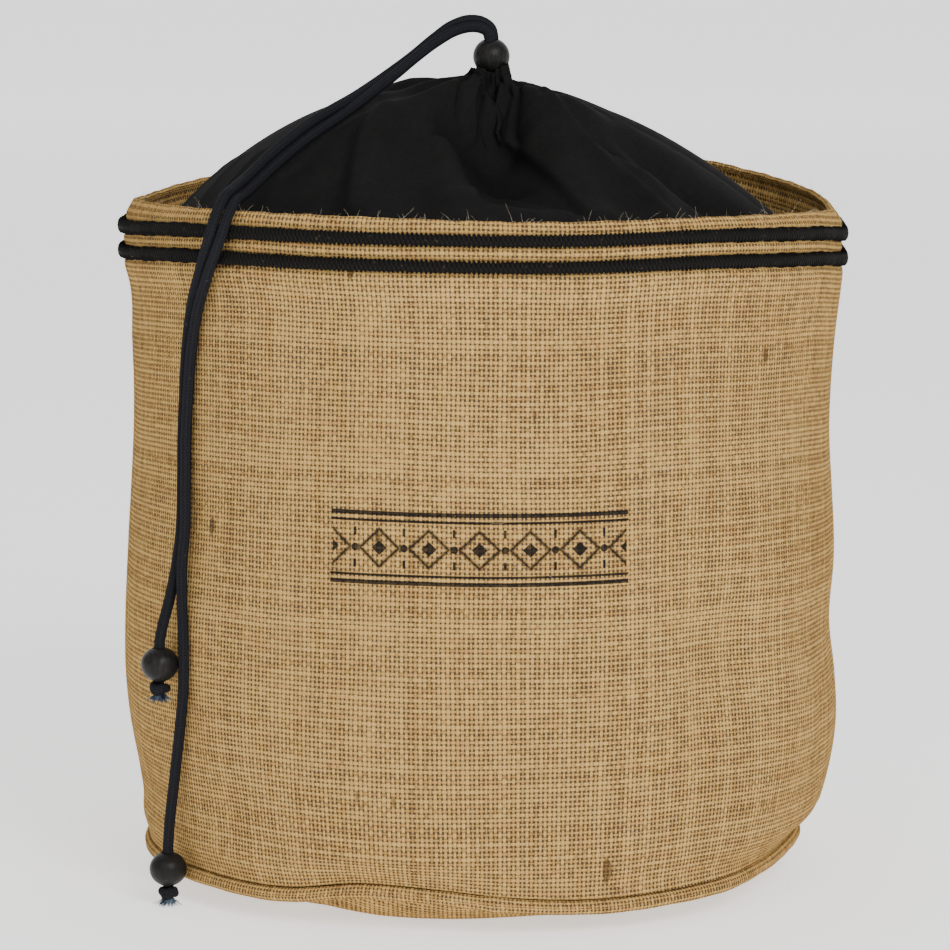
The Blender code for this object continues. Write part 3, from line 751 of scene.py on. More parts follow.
def hessian(name, looks, printed=False, pitch=1.0, worn=0.0):
    """Jute hessian: the weave gives its bumps and gaps, each yarn has its own tan, and fine noise frays it. Painted
    shade darkens each yarn's sides and under-passes and fills the gaps.
    """
    made, board, shader = new_material(name)
    cloth, place = board.cloth(), board.place()
    group = board.node(
        "ShaderNodeGroup",
        {},
        node_tree=weave_group(),
    )
    for key, value in (
        ("Vector", cloth),
        ("Warp Pitch", looks.warp_pitch * pitch),
        ("Weft Pitch", looks.weft_pitch * pitch),
        ("Fullness", looks.fullness),
        ("Unevenness", looks.unevenness),
    ):
        connect(board.tree, value, group.inputs[key])
    height, gap, shade = (board.wire(group, k) for k in ("Height", "Gap", "Shade"))
    x, y, _ = board.split(cloth)
    fluff = board.noise(place, 1900.0, 2.0, 0.65)
    blotch = board.noise(place, 16.0, 1.0)
    streaks = board.noise(board.join(x * 6.0, y * 170.0, 0.0), 1.0, 1.0)
    streaks_up = board.noise(board.join(x * 190.0, y * 7.0, 4.0), 1.0, 1.0)
    tone = shade * 0.72 + fluff * 0.34 + (streaks + streaks_up) * 0.18 + blotch * 0.22 - 0.23
    yarn = board.mix(tone.ramp(0.17, 0.77), (*looks.hessian_dark, 1), (*looks.hessian_light, 1))
    rust = board.noise(board.join(x * 60.0, y * 520.0, 21.0), 1.0, 0.0).ramp(0.50, 0.68)
    yarn = board.mix(rust * 0.35, yarn, (0.47, 0.235, 0.085, 1))
    fleck = board.noise(board.join(x * 130.0, y * 60.0, 9.0), 1.0, 0.0).ramp(0.80, 0.85)
    yarn = board.mix(fleck * 0.7, yarn, (0.085, 0.045, 0.018, 1))
    # Painted shade: each yarn is darkened towards black on its sides and where it dips under the crossing yarn, leaving
    # its crown lightest.
    painted_relief_shade = height.ramp(0.50, 0.98, 0.44, 1.0)
    colour = board.mix(painted_relief_shade, (0.0, 0.0, 0.0, 1), yarn)
    # Painted shade: the gaps between the yarns get a dark brown that stands for the dark seen through the holes.
    colour = board.mix(gap * 0.92, colour, (*looks.painted_gap_shade, 1))
    if printed:
        mask = ornament(board, (x - looks.print_x) * 1000.0, (y - looks.print_height) * 1000.0)
        patchy = (fluff * 0.7 + shade * 0.5).ramp(0.45, 0.95, 0.98, 0.86)
        colour = board.mix(mask * patchy, colour, (*looks.ink, 1))
    connect(board.tree, colour, shader.inputs["Base Color"])
    connect(board.tree, (fluff * 0.12 + 0.82), shader.inputs["Roughness"])
    rough = board.bump(fluff, 0.00022, 0.5)
    normal = board.bump(height, 0.0011, 0.75, rough)
    connect(board.tree, normal, shader.inputs["Normal"])
    shader.inputs["Specular IOR Level"].default_value = 0.0
    return made


def cotton(looks):
    """Black cotton: a fine weave as two sets of thin ribs, soft creasing and faint lint, and painted shade where it
    lies deep.

    The painted shade fills the wedge between two straight lines that spread from the neck towards the front.
    """
    made, board, shader = new_material("black_cotton")
    cloth, place = board.cloth(), board.place()
    x, y, _ = board.split(cloth)
    ribs = (x * (2 * math.pi / 0.00062)).cosine() + (y * (2 * math.pi / 0.00066)).cosine()
    slubs = board.noise(board.join(x * 900.0, y * 140.0, 0.0), 1.0, 1.0)
    slubs_up = board.noise(board.join(x * 140.0, y * 900.0, 5.0), 1.0, 1.0)
    crush = board.noise(place, 60.0, 4.0, 0.55)
    lint = board.noise(place, 900.0, 2.0).ramp(0.70, 0.80)
    # Painted shade: a near-black wedge in the closure's hollow in front of the neck.
    right, back, _ = board.split(place)
    front = back * -1.0
    left_line = right - (front * 0.300 - 0.0362)
    right_line = (front * 0.425 - 0.0066) - right
    deep = left_line.ramp(-0.002, 0.005) * right_line.ramp(-0.002, 0.014)
    deep = deep * front.ramp(0.030, 0.056) * front.ramp(0.090, 0.118, 1.0, 0.0)
    tone = (slubs + slubs_up) * 0.35 + crush * 0.5 + ribs * 0.03
    # Partly painted shade: the crush noise also raises the soft creases, so their low parts are darker; the slubs add
    # random tone.
    colour = board.mix(tone.ramp(0.35, 0.9), (*looks.cotton_dark_and_shade, 1), (*looks.cotton_light, 1))
    colour = board.mix(lint * 0.25, colour, (0.035, 0.033, 0.031, 1))
    # The painted shade's colour.
    colour = board.mix(deep * 0.48, colour, (0.0015, 0.0014, 0.0014, 1))
    connect(board.tree, colour, shader.inputs["Base Color"])
    connect(board.tree, crush * 0.1 + 0.88, shader.inputs["Roughness"])
    folds = board.bump(crush, 0.0016, 0.5)
    normal = board.bump((slubs + slubs_up) * 0.5 + ribs * 0.08, 0.00010, 0.5, folds)
    connect(board.tree, normal, shader.inputs["Normal"])
    shader.inputs["Specular IOR Level"].default_value = 0.05
    return made


def knitted(looks):
    """A knitted cord: eight columns of V stitches, each a cosine along the cord that lags away from its middle, with
    painted shade where the stitches sink.
    """
    made, board, shader = new_material("navy_cord")
    turn, length, _ = board.split(board.cloth())
    wale = (turn * 8.0).fraction() - 0.5
    lag = wale.size() * 1.5
    stitch = ((length / 0.0013 + lag) * (2 * math.pi)).cosine() * 0.5 + 0.5
    rib = (wale.size() * 2.0).less_from(1.0).root()
    height = stitch * 0.55 + rib * 0.45
    fluff = board.noise(board.place(), 2600.0, 3.0, 0.6)
    lint = board.noise(board.place(), 700.0, 2.0).ramp(0.68, 0.8)
    # Painted shade: the colour goes darker where the stitches and the wale columns sink, and the fluff adds random
    # tone.
    colour = board.mix((height * 0.7 + fluff * 0.6).ramp(0.3, 1.1), (*looks.cord_painted_shade, 1), (*looks.cord_light, 1))
    colour = board.mix(lint * 0.3, colour, (0.09, 0.085, 0.08, 1))
    connect(board.tree, colour, shader.inputs["Base Color"])
    connect(board.tree, fluff * 0.1 + 0.8, shader.inputs["Roughness"])
    normal = board.bump(height, 0.0004, 0.7, board.bump(fluff, 0.0002, 0.5))
    connect(board.tree, normal, shader.inputs["Normal"])
    shader.inputs["Specular IOR Level"].default_value = 0.08
    return made


def sewn_cord(looks):
    """A black cord under close stitches: slanting ridges round it, painted shade between them, and a little brown dust
    of the jute.
    """
    made, board, shader = new_material("black_cord")
    x, y, _ = board.split(board.cloth())
    stitch = ((x / 0.0018 + y / 0.009) * (2 * math.pi)).cosine() * 0.5 + 0.5
    fluff = board.noise(board.place(), 2200.0, 3.0, 0.6)
    dust = board.noise(board.place(), 520.0, 2.0).ramp(0.66, 0.78)
    # Painted shade: darker between the stitch ridges, and the fluff adds random tone.
    colour = board.mix((stitch * 0.6 + fluff * 0.6).ramp(0.2, 1.1), (*looks.rim_cord_painted_shade, 1), (*looks.rim_cord_light, 1))
    colour = board.mix(dust * 0.3, colour, (0.12, 0.085, 0.05, 1))
    connect(board.tree, colour, shader.inputs["Base Color"])
    connect(board.tree, fluff * 0.1 + 0.82, shader.inputs["Roughness"])
    normal = board.bump(stitch, 0.0005, 0.7, board.bump(fluff, 0.0002, 0.6))
    connect(board.tree, normal, shader.inputs["Normal"])
    shader.inputs["Specular IOR Level"].default_value = 0.08
    return made


def stained_wood(looks):
    """Black stained wood: rings of grain stretched up the bead, open pores, and a dull polish worn on top."""
    made, board, shader = new_material("black_wood")
    x, y, z = board.split(board.place())
    grain = board.noise(board.join(x * 900.0, y * 900.0, z * 110.0), 1.0, 4.0, 0.6)
    pores = board.noise(board.join(x * 2600.0, y * 2600.0, z * 300.0), 1.0, 2.0).ramp(0.58, 0.72)
    colour = board.mix(grain.ramp(0.35, 0.75), (*looks.wood_dark, 1), (*looks.wood_light, 1))
    colour = board.mix(pores * 0.6, colour, (0.004, 0.004, 0.004, 1))
    connect(board.tree, colour, shader.inputs["Base Color"])
    connect(board.tree, grain.ramp(0.3, 0.8, 0.36, 0.5), shader.inputs["Roughness"])
    height = grain * 0.5 - pores
    connect(board.tree, board.bump(height, 0.00025, 0.6), shader.inputs["Normal"])
    shader.inputs["Specular IOR Level"].default_value = 0.16
    return made


def hair(name, dark, light):
    """Loose fibres, each part of the object a little lighter or darker than the next."""
    made, board, shader = new_material(name)
    tone = board.noise(board.place(), 240.0, 2.0)
    connect(board.tree, board.mix(tone.ramp(0.3, 0.7), (*dark, 1), (*light, 1)), shader.inputs["Base Color"])
    shader.inputs["Roughness"].default_value = 0.6
    shader.inputs["Specular IOR Level"].default_value = 0.0
    return made


# ---------------------------------------------------------------- routes


def along(points, step):
    """Points a step apart along a smooth curve through the given ones."""
    points = np.asarray(points, float)
    run = np.concatenate([[0], np.cumsum(np.linalg.norm(np.diff(points, axis=0), axis=1))])
    fine = np.linspace(0, run[-1], 4000)
    curve = np.stack([smooth(fine, run, points[:, k]) for k in range(3)], axis=1)
    length = np.concatenate([[0], np.cumsum(np.linalg.norm(np.diff(curve, axis=0), axis=1))])
    at = np.linspace(0, length[-1], round(length[-1] / step) + 1)
    return np.stack([np.interp(at, length, curve[:, k]) for k in range(3)], axis=1)


def strand_path(side, step):
    """One strand of the pair, from the closure's mouth to under its bead: side is 1 for the short and -1 for the long.

    It runs beside the pair's middle, half the spacing away, turned about the route as the table says.
    """
    middle = np.array([row[:3] for row in PAIR]) * MM
    turn = np.radians([row[3] for row in PAIR])[:, None]
    ahead = np.gradient(middle, axis=0)
    ahead /= np.linalg.norm(ahead, axis=1, keepdims=True)
    back = np.array([0.0, 1.0, 0.0]) - ahead * ahead[:, 1:2]
    back /= np.linalg.norm(back, axis=1, keepdims=True)
    across = -np.cross(ahead, back)
    offset = side * PAIR_SPACING / 2 * (np.cos(turn) * across + np.sin(turn) * back)
    ends = np.array(SHORT_END if side > 0 else LONG_END) * MM
    reach = np.array([0, 0, END_BEAD_HEIGHT / 2])
    route = np.concatenate([(middle + offset)[1:], ends[:-1], [ends[-1] + 1.3 * reach]])
    first = np.linspace((middle + offset)[0], (middle + offset)[1], 12)[:-1]
    last = np.linspace(ends[-1] + 1.3 * reach, ends[-1] - reach, 12)[1:]
    return np.concatenate([first, along(route, step), last])


# ---------------------------------------------------------------- settings and operators


class SackLooks(bpy.types.PropertyGroup):
    """The sizes and colours that a user would change."""

    warp_pitch: FloatProperty(
        name="Warp pitch", description="Between the hessian's upright yarns", default=0.0018, unit="LENGTH"
    )
    weft_pitch: FloatProperty(
        name="Weft pitch", description="Between the hessian's level yarns", default=0.00196, unit="LENGTH"
    )
    fullness: FloatProperty(name="Fullness", description="A yarn's width as a share of the pitch", default=0.64)
    unevenness: FloatProperty(name="Unevenness", description="How much the yarns wander and swell", default=1.0)
    hessian_light: FloatVectorProperty(
        name="Light jute", description="The lightest yarns", subtype="COLOR", default=(0.590, 0.374, 0.128)
    )
    hessian_dark: FloatVectorProperty(
        name="Dark jute", description="The darkest yarns", subtype="COLOR", default=(0.348, 0.191, 0.059)
    )
    # Painted shade for the gaps between the yarns.
    painted_gap_shade: FloatVectorProperty(
        name="Gaps", description="Between the yarns", subtype="COLOR", default=(0.068, 0.046, 0.030)
    )
    ink: FloatVectorProperty(
        name="Ink", description="The printed band", subtype="COLOR", default=(0.012, 0.012, 0.0125)
    )
    print_x: FloatProperty(
        name="Print offset", description="The printed band's middle, right of the front", default=-0.0015, unit="LENGTH"
    )
    print_height: FloatProperty(
        name="Print height", description="The printed band's middle, up the wall", default=0.154, unit="LENGTH"
    )
    cotton_light: FloatVectorProperty(
        name="Cotton", description="The closure's lit side", subtype="COLOR", default=(0.0125, 0.0119, 0.0117)
    )
    # Partly painted shade: mixed in where the soft creases sink, and partly the darker slubs.
    cotton_dark_and_shade: FloatVectorProperty(
        name="Cotton in its weave", description="The closure's hollows", subtype="COLOR", default=(0.0080, 0.0076, 0.0075)
    )
    cord_light: FloatVectorProperty(
        name="Drawcord", description="The drawcord's stitches", subtype="COLOR", default=(0.0165, 0.0168, 0.0205)
    )
    # Painted shade between the drawcord's stitches.
    cord_painted_shade: FloatVectorProperty(
        name="Drawcord's hollows", description="Between its stitches", subtype="COLOR", default=(0.0072, 0.0074, 0.0092)
    )
    rim_cord_light: FloatVectorProperty(
        name="Rim cord", description="The rim cords' stitches", subtype="COLOR", default=(0.0125, 0.0118, 0.0108)
    )
    # Painted shade between the rim cords' stitches.
    rim_cord_painted_shade: FloatVectorProperty(
        name="Rim cord's hollows", description="Between their stitches", subtype="COLOR", default=(0.0042, 0.0040, 0.0037)
    )
    wood_light: FloatVectorProperty(
        name="Wood", description="The beads' lighter grain", subtype="COLOR", default=(0.0170, 0.0160, 0.0148)
    )
    wood_dark: FloatVectorProperty(
        name="Dark wood", description="The beads' darker grain", subtype="COLOR", default=(0.0075, 0.0071, 0.0068)
    )
    rim_hairs: IntProperty(name="Rim fibres", description="Loose fibres round the rim", default=680)
    wall_hairs: IntProperty(name="Wall fibres", description="Loose fibres on the wall", default=700)
    light: FloatProperty(name="Light", description="The key light's power", default=51.0, unit="POWER")
    floor_glow: FloatProperty(name="Floor glow", description="How much light the white sweep gives off", default=0.9)
    floor_colour: FloatVectorProperty(
        name="Floor", description="The plain floor", subtype="COLOR", default=(0.90, 0.90, 0.90)
    )


class SACK_OT_stage(bpy.types.Operator):
    """Makes the plain floor, the soft lights and the camera"""

    bl_idname = "sack.stage"
    bl_label = "Stage"

    def execute(self, context):
        looks = context.scene.sack_looks
        self.floor(looks)
        scene = context.scene
        camera = bpy.data.objects.new("camera", bpy.data.cameras.new("camera"))
        camera.data.lens = 166.2
        camera.data.sensor_width = 36.0
        camera.data.clip_end = 60.0
        camera.location = (-0.0033, -1.80, 0.4086)
        camera.rotation_euler = (math.radians(90 - 7.78), 0, 0)
        scene.collection.objects.link(camera)
        scene.camera = camera
        self.soft_light("key", (0.95, -2.1, 1.5), 1.3, looks.light)
        self.soft_light("fill", (-1.0, -2.3, 1.2), 1.3, looks.light * 0.24)
        self.soft_light("top", (-0.2, 0.3, 2.6), 1.6, looks.light * 0.12)
        world = bpy.data.worlds.new("studio")
        world.use_nodes = True
        world.node_tree.nodes["Background"].inputs["Color"].default_value = (1, 1, 1, 1)
        world.node_tree.nodes["Background"].inputs["Strength"].default_value = 0.48
        scene.world = world
        return {"FINISHED"}

    def floor(self, looks):
        """A floor that turns up into a backdrop: a line, a quarter circle and a line, carried sideways."""
        turn = np.linspace(0, math.pi / 2, 17)
        profile = [(-8.0, 0.0), *zip(6 + 2 * np.sin(turn), 2 - 2 * np.cos(turn)), (8.0, 9.0)]
        y, z = np.array(profile).T
        x = np.linspace(-9, 9, 3)
        points = np.stack(np.broadcast_arrays(x[None, :], y[:, None], z[:, None]), axis=-1)
        rows, columns = points.shape[:2]
        i, j = np.meshgrid(np.arange(rows - 1), np.arange(columns - 1), indexing="ij")
        faces = np.stack([i * columns + j, i * columns + j + 1, (i + 1) * columns + j + 1, (i + 1) * columns + j], axis=-1)
        mesh = bpy.data.meshes.new("floor")
        mesh.from_pydata(points.reshape(-1, 3).tolist(), [], faces.reshape(-1, 4).tolist())
        mesh.shade_smooth()
        made = bpy.data.objects.new("floor", mesh)
        bpy.context.scene.collection.objects.link(made)
        paint, board, shader = new_material("pale_floor")
        shader.inputs["Base Color"].default_value = (*looks.floor_colour, 1)
        shader.inputs["Roughness"].default_value = 0.9
        shader.inputs["Specular IOR Level"].default_value = 0.0
        shader.inputs["Emission Color"].default_value = (1, 1, 1, 1)
        shader.inputs["Emission Strength"].default_value = looks.floor_glow
        mesh.materials.append(paint)

    def soft_light(self, name, place, size, power):
        lamp = bpy.data.lights.new(name, "AREA")
        lamp.shape = "DISK"
        lamp.size = size
        lamp.energy = power
        made = bpy.data.objects.new(name, lamp)
        made.location = place
        made.rotation_euler = (Vector((0, 0, 0.16)) - Vector(place)).to_track_quat("-Z", "Y").to_euler()
        bpy.context.scene.collection.objects.link(made)


class SACK_OT_drawcord(bpy.types.Operator):
    """Makes both free ends of the drawcord, with their beads and knots, and the toggle bead"""

    bl_idname = "sack.drawcord"
    bl_label = "Drawcord"

    def execute(self, context):
        looks = context.scene.sack_looks
        knit = knitted(looks)
        wood = stained_wood(looks)
        frayed = hair("frayed_ends", (0.016, 0.026, 0.042), (0.150, 0.205, 0.270))
        for name, side, length in (("short", 1, SHORT_LENGTH), ("long", -1, LONG_LENGTH)):
            path = strand_path(side, 1.0 * MM)
            strand = tube("knitted_" + name, path, CORD_DIAMETER / 2, 16)
            strand.data.materials.append(knit)
            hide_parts("drawcord_" + name)
            middle = path[-1] + [0, 0, END_BEAD_HEIGHT / 2]
            bead = self.bead("wood_bead_" + name, middle, END_BEAD_HEIGHT, 2.4, 2.4, 0)
            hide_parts("bead_" + name)
            bead.data.materials.append(wood)
            under = middle - np.array([0, 0, END_BEAD_HEIGHT / 2 + GAP * MM])
            knot = self.knot("tied_" + name, under, side)
            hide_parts("knot_" + name)
            knot.data.materials.append(knit)
            fray = self.fray("fray_" + name, under, side)
            fray.data.materials.append(frayed)
        place = np.array([NECK_X, NECK_Y, TOGGLE_HEIGHT]) * MM
        toggle = self.bead("wood_toggle", place, BEAD_WIDTH, 4.65, 3.0, PAIR[0][3])
        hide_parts("toggle_bead")
        toggle.data.materials.append(wood)
        return {"FINISHED"}

    def bead(self, name, middle, height, wide, deep, turned):
        """A turned bead: a ball's profile from bore to bore with eased lips, then back down the oval bore."""
        columns, rows = 48, 26
        spin = 2 * np.pi * np.arange(columns) / columns
        reach = np.hypot(wide * np.cos(spin), deep * np.sin(spin))
        bore = wide * deep / np.hypot(deep * np.cos(spin), wide * np.sin(spin)) + 0 * reach
        ball = BEAD_WIDTH / 2 / MM
        lip = np.arcsin((bore + 0.35) / ball)
        share = np.linspace(0, 1, rows)[:, None]
        tilt = (math.pi - lip) * (1 - share) + lip * share
        out = ball * np.sin(tilt)
        up = height / 2 / MM * np.cos(tilt)
        top = up[-1]
        inner = np.stack([bore, bore, bore, bore])
        inner_up = np.stack([top - 0.4, top / 3, -top / 3, 0.4 - top])
        radius = np.concatenate([out, inner])
        lift = np.concatenate([up, inner_up])
        angle = spin + math.radians(turned)
        points = np.stack([radius * np.cos(angle), radius * np.sin(angle), lift + 0 * angle], axis=-1) * MM + middle
        uv = np.zeros((radius.shape[0] + 1, columns + 1, 2))
        return skin(name, points, uv, closed_rows=True)

    def knot(self, name, top, side):
        """An overhand knot drawn up under the bead: the cord turns one and three quarter times round itself."""
        t = np.linspace(0, 1, 70)
        turn = 2 * math.pi * 1.75 * t * side + 1.1
        wide = (2.35 + 0.35 * np.sin(3 * turn)) * np.clip(9 * t, 0, 1) ** 0.5 * np.clip(6 * (1 - t), 0, 1) ** 0.5
        drop = 1.35 + 2.0 * t + 0.35 * np.sin(2 * turn)
        path = np.stack([wide * np.cos(turn), wide * np.sin(turn), -drop], axis=-1) * MM + top
        return tube(name, path, 1.72 * MM, 12)

    def fray(self, name, top, side):
        """The cord's loose end: fibres that leave the knot's foot in a cone and curl outwards."""
        chance = np.random.default_rng(40 + side)
        count = 230
        turn = chance.uniform(0, 2 * math.pi, count)
        spread = chance.uniform(0.0, 0.95, count)
        out = np.stack([np.cos(turn), np.sin(turn), np.zeros(count)], axis=-1)
        foot = np.array([0, 0, -4.3]) * MM
        starts = top + foot + out * (1.9 * MM * np.sqrt(chance.uniform(0, 1, count)))[:, None]
        ways = out * spread[:, None] + [0, 0, -1]
        curls = out * chance.uniform(-0.2, 0.5, count)[:, None] + chance.normal(0, 0.12, (count, 3))
        curls[:, 2] = np.abs(curls[:, 2]) * 0.5
        lengths = chance.uniform(1.9, 3.6, count) * MM
        return fibres(name, starts, ways, lengths, curls, 0.34 * MM)


class SACK_OT_wall(bpy.types.Operator):
    """Makes the hessian wall with its turned hem"""

    bl_idname = "sack.wall"
    bl_label = "Wall"

    def execute(self, context):
        looks = context.scene.sack_looks
        columns = 384
        angle = SEAM_ANGLE - 360 + 360 * np.arange(columns) / columns
        outer = np.concatenate([np.linspace(14, 44, 22), np.linspace(46.5, 246, 66), np.linspace(248, 278.4, 28)])
        inner = np.concatenate([np.linspace(277.6, 250, 14), np.linspace(246, 60, 26), np.linspace(52, 14, 8)])
        level = outer[:, None]
        skirt = polar(angle, wall_radius(angle, level), wall_height(angle, level))
        thick = 1.8 + 1.2 * np.clip((inner[:, None] - (HEM_FOOT - 5)) / 4, 0, 1)
        within = wall_radius(angle, inner[:, None], fine=False) - thick
        lining = polar(angle, within, wall_height(angle, inner[:, None]))
        turn = np.radians([20, 48, 76, 104, 132, 160])[:, None]
        radius, height = wall_radius(angle, 279.2), around(angle, RIM, 1)
        ragged = 0.25 * np.sin(np.radians(61 * angle)) * np.sin(np.radians(23 * angle))
        fold = polar(angle, radius - 1.5 + 1.5 * np.cos(turn), height - 1.5 + 1.5 * np.sin(turn) + ragged)
        points = np.concatenate([skirt, fold, lining])
        step = np.full(len(turn), 0.8)
        run = np.concatenate([outer, outer[-1] + np.cumsum(step), 2 * 282.5 - inner, [2 * 282.5 - 12]])
        across = np.radians(np.append(angle, SEAM_ANGLE)) * MEAN_RADIUS
        uv = np.stack(np.broadcast_arrays(across[None, :], run[:, None] * MM), axis=-1)
        wall = skin("wall_cloth", points, uv, closed_rows=True)
        wall.data.materials.append(hessian("hessian_wall", looks, printed=True))
        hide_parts("sack_wall")
        return {"FINISHED"}


class SACK_OT_base(bpy.types.Operator):
    """Makes the base panel and the piping in its seam"""

    bl_idname = "sack.base"
    bl_label = "Base"

    def execute(self, context):
        looks = context.scene.sack_looks
        self.panel(looks)
        piping = ring(
            "piping_cloth",
            lambda angle: around(angle, SEAM, 1),
            lambda angle: around(angle, SEAM, 2),
            lambda angle: PIPING_RADIUS + self.join(angle),
            lambda angle: PIPING_RADIUS + self.join(angle),
            540,
            18,
        )
        piping.data.materials.append(hessian("hessian_piping", looks, pitch=0.92))
        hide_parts("base_piping")
        return {"FINISHED"}

    def join(self, angle):
        """The piping's own unevenness, and where one end of it overlaps the other: a short swelling."""
        lumps = 0.12 * np.sin(np.radians(31 * angle)) * np.sin(np.radians(13 * angle + 40)) - 0.1
        return lumps + 0.55 * np.exp(-((angle_between(angle, 1.5) / 1.1) ** 2))

    def panel(self, looks):
        """A flat disc whose edge curves up to the piping: a closed skin, out under the cloth and back over it."""
        columns = 240
        angle = SEAM_ANGLE - 360 + 360 * np.arange(columns) / columns
        edge = around(angle, SEAM, 1) - (PIPING_RADIUS + GAP)
        seam = around(angle, SEAM, 2)
        curl = 1.6 + 0.25 * np.clip(seam - 12, 0, 5)
        share = np.concatenate([[0.0005], np.linspace(0.1, 1, 10), np.linspace(1.05, 2, 20)])[:, None]
        rise = np.clip(share - 1, 0, 1)
        radius = np.minimum(share, 1) * 98.0 + rise * (edge - 98.0)
        height = seam * rise**curl
        pucker = 0.25 * np.sin(np.radians(47 * angle)) * rise**3
        under = polar(angle, radius, np.maximum(height - pucker, 0))
        over = polar(angle, radius, height + 1.7)
        flip = under[::-1].copy()
        points = np.concatenate([over[:1] * [1, 1, 1], over[1:], flip])
        points = points[::-1]
        flat = points[..., :2]
        uv = np.concatenate([flat, flat[:, :1]], axis=1)
        uv = np.concatenate([uv, uv[:1]], axis=0)
        base = skin("base_cloth", points, uv, closed_rows=True)
        base.data.materials.append(hessian("hessian_base", looks))
        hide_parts("base_panel")


class SACK_OT_rim_cords(bpy.types.Operator):
    """Makes the two black cords sewn round the rim"""

    bl_idname = "sack.rim_cords"
    bl_label = "Rim cords"

    def execute(self, context):
        looks = context.scene.sack_looks
        sewn = sewn_cord(looks)
        for name, height in (("upper", upper_cord), ("lower", lower_cord)):
            made = ring(
                "rim_cord_sewn_" + name,
                lambda angle: RIM_CORD_RADIUS + 0 * angle,
                height,
                lambda angle: RIM_CORD_DEPTH / 2 - 0.08 + 0.10 * self.stitches(angle),
                lambda angle: RIM_CORD_WIDTH / 2 - 0.05 + 0.85 * self.stitches(angle),
                STITCHES * 4,
                10,
            )
            made.data.materials.append(sewn)
            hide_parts("rim_cord_" + name)
        return {"FINISHED"}

    def stitches(self, angle):
        """The stitches that bite into the cord: an even zigzag round the rim, made stronger and weaker by slow sines."""
        saw = np.abs((angle * STITCHES / 360) % 1 - 0.5) * 4 - 1
        return saw * (0.7 + 0.5 * np.sin(np.radians(37 * angle)) * np.sin(np.radians(71 * angle)))


class SACK_OT_closure(bpy.types.Operator):
    """Makes the black cotton cone, gathered to its neck"""

    bl_idname = "sack.closure"
    bl_label = "Closure"

    def execute(self, context):
        looks = context.scene.sack_looks
        columns = 372
        angle = SEAM_ANGLE - 360 + 360 * np.arange(columns) / columns
        radius = [np.linspace(EDGE_RADIUS, 40, 58), np.linspace(39, 16, 26), np.linspace(15.4, COLLAR_RADIUS, 13)]
        radius = np.concatenate(radius)[:, None]
        dome = dome_height(angle, radius)
        hem = wall_height(angle, 259.5)
        sewn = wall_radius(angle, 256.0, fine=False) - 3.8
        share = np.linspace(0, 1, 9)[1:-1][:, None]
        strip_radius = np.concatenate([sewn + 0 * share[:3], sewn + (EDGE_RADIUS - sewn) * share])
        rise = hem + (dome[0] - hem) * share + 1.5 * (share - share**2)
        strip_height = np.concatenate([wall_height(angle, np.array([[253.7], [256.6], [258.6]])), rise])
        mouth_radius, mouth_height = self.mouth(angle)
        spread = np.concatenate([strip_radius, radius + 0 * angle, mouth_radius])
        lift = np.concatenate([strip_height, dome, mouth_height])
        points = polar(angle, spread, lift)
        shift = (1 - np.clip(spread / EDGE_RADIUS, 0, 1)) ** 2
        points[..., 0] += NECK_X * MM * shift
        points[..., 1] += NECK_Y * MM * shift
        across = np.roll(points, -1, axis=1) - np.roll(points, 1, axis=1)
        normal = np.cross(across, np.gradient(points, axis=0))
        normal /= np.linalg.norm(normal, axis=2, keepdims=True)
        deep = creases(angle, np.clip(spread, COLLAR_RADIUS, None))
        deep[-len(mouth_radius) :] = deep[-len(mouth_radius) - 1] * np.linspace(1, 0.35, len(mouth_radius))[:, None]
        points += normal * deep[..., None] * MM
        run = np.concatenate([[0], np.cumsum(np.hypot(np.diff(spread.mean(axis=1)), np.diff(lift.mean(axis=1))))])
        across = np.radians(np.append(angle, SEAM_ANGLE)) * 0.143
        uv = np.stack(np.broadcast_arrays(across[None, :], run[:, None] * MM), axis=-1)
        cone = skin("closure_cloth", points, uv)
        shell = cone.modifiers.new("thickness", "SOLIDIFY")
        shell.thickness = 0.8 * MM
        shell.offset = -1
        cone.data.materials.append(cotton(looks))
        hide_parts("closure")
        return {"FINISHED"}

    def mouth(self, angle):
        """The gathered mouth round the toggle bead: a collar that leans in on the bead and dips in front of it."""
        rows = np.linspace(0, 1, 11)[1:, None]
        dip = np.exp(-((angle_between(angle, 5) / 15) ** 2))
        petal = np.exp(-((angle_between(angle, 52) / 24) ** 2))
        top = 331.0 - 2.0 * dip + 1.9 * petal + 0.35 * np.sin(np.radians(7 * angle)) - 0.6 * gathers(angle) / GATHER_DEPTH
        base = dome_height(angle, np.full((1, 1), COLLAR_RADIUS))
        height = base + (top - base) * rows
        radius = COLLAR_RADIUS - 1.5 * rows**0.8 + 0.25 * np.sin(np.radians(9 * angle)) * rows + 0.4 * petal * rows**2
        return radius, height


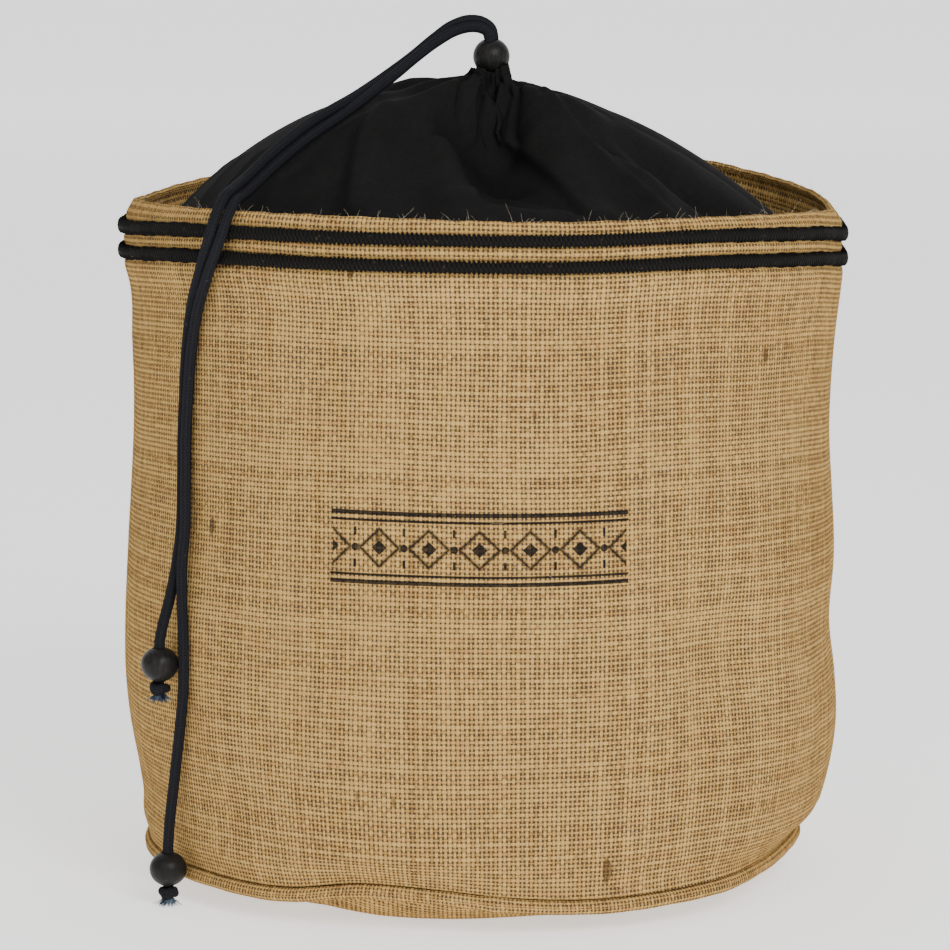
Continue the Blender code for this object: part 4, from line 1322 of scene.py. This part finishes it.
class SACK_OT_fibres(bpy.types.Operator):
    """Makes the loose jute fibres round the rim and on the wall"""

    bl_idname = "sack.fibres"
    bl_label = "Fibres"

    def execute(self, context):
        looks = context.scene.sack_looks
        jute = hair("jute_fibres", (0.55, 0.44, 0.28), (0.85, 0.76, 0.58))
        for name, count, low, high, reach in (
            ("rim_fibres", looks.rim_hairs, 277.0, 280.0, (0.8, 3.9)),
            ("wall_fibres", looks.wall_hairs, 24.0, 276.0, (1.5, 4.6)),
        ):
            made = self.scatter(name, count, low, high, reach)
            made.data.materials.append(jute)
        return {"FINISHED"}

    def scatter(self, name, count, low, high, reach):
        """Fibres that start at random places on the cloth, lean along it and lift a little off it."""
        chance = np.random.default_rng(len(name) * 7 + count)
        angle = chance.uniform(-180, 180, count)
        level = chance.uniform(low, high, count)
        at_rim = low > 200
        radius = wall_radius(angle, level) - (chance.uniform(0, 2.6, count) if at_rim else 0.1)
        height = wall_height(angle, level) - (0.3 if at_rim else 0.0)
        starts = polar(angle, radius, height)
        turn = np.radians(angle)
        out = np.stack([np.sin(turn), -np.cos(turn), 0 * turn], axis=-1)
        side = np.stack([np.cos(turn), np.sin(turn), 0 * turn], axis=-1)
        up = np.array([0.0, 0.0, 1.0])
        lean = chance.normal(0, 1, (count, 3))
        if at_rim:
            ways = 0.7 * up + 0.7 * lean[:, :1] * side + 0.4 * lean[:, 1:2] * out
        else:
            ways = 0.8 * lean[:, :1] * side + 0.8 * lean[:, 1:2] * up + (0.12 + 0.2 * np.abs(lean[:, 2:])) * out
        ways /= np.linalg.norm(ways, axis=1, keepdims=True)
        curls = chance.normal(0, 0.6 if at_rim else 0.42, (count, 3)) + (0 if at_rim else -0.12) * out
        lengths = chance.uniform(*reach, count) * MM * np.where(chance.uniform(0, 1, count) > 0.93, 1.8, 1.0)
        return fibres(name, starts, ways, lengths, curls, 0.08 * MM)


class SACK_OT_cloths(bpy.types.Operator):
    """Looks up each sheet of cloth and what is sewn on it, and leaves them as they are"""

    bl_idname = "sack.cloths"
    bl_label = "Cloths"

    def execute(self, context):
        find = bpy.data.objects.get
        wall, base, cone = find("wall_cloth"), find("base_cloth"), find("closure_cloth")
        sewn_on = ("rim_cord_sewn_upper", "rim_cord_sewn_lower", "rim_fibres", "wall_fibres")
        [find(n) for n in sewn_on]
        find("piping_cloth")
        return {"FINISHED"}


class SACK_PT_looks(bpy.types.Panel):
    """The sack's sizes, colours and pieces"""

    bl_idname = "SACK_PT_looks"
    bl_label = "Hessian sack"
    bl_space_type = "VIEW_3D"
    bl_region_type = "UI"
    bl_category = "Sack"

    def draw(self, context):
        for name in SackLooks.__annotations__:
            self.layout.prop(context.scene.sack_looks, name)
        for kind in OPERATORS:
            self.layout.operator(kind.bl_idname)


OPERATORS = (
    SACK_OT_stage,
    SACK_OT_drawcord,
    SACK_OT_wall,
    SACK_OT_base,
    SACK_OT_rim_cords,
    SACK_OT_closure,
    SACK_OT_fibres,
    SACK_OT_cloths,
)


def register():
    for kind in (SackLooks, *OPERATORS, SACK_PT_looks):
        bpy.utils.register_class(kind)
    bpy.types.Scene.sack_looks = PointerProperty(type=SackLooks)


def unregister():
    del bpy.types.Scene.sack_looks
    for kind in reversed((SackLooks, *OPERATORS, SACK_PT_looks)):
        bpy.utils.unregister_class(kind)


def main():
    register()
    for kind in OPERATORS:
        group, name = kind.bl_idname.split(".")
        getattr(getattr(bpy.ops, group), name)()


if __name__ == "__main__":
    main()
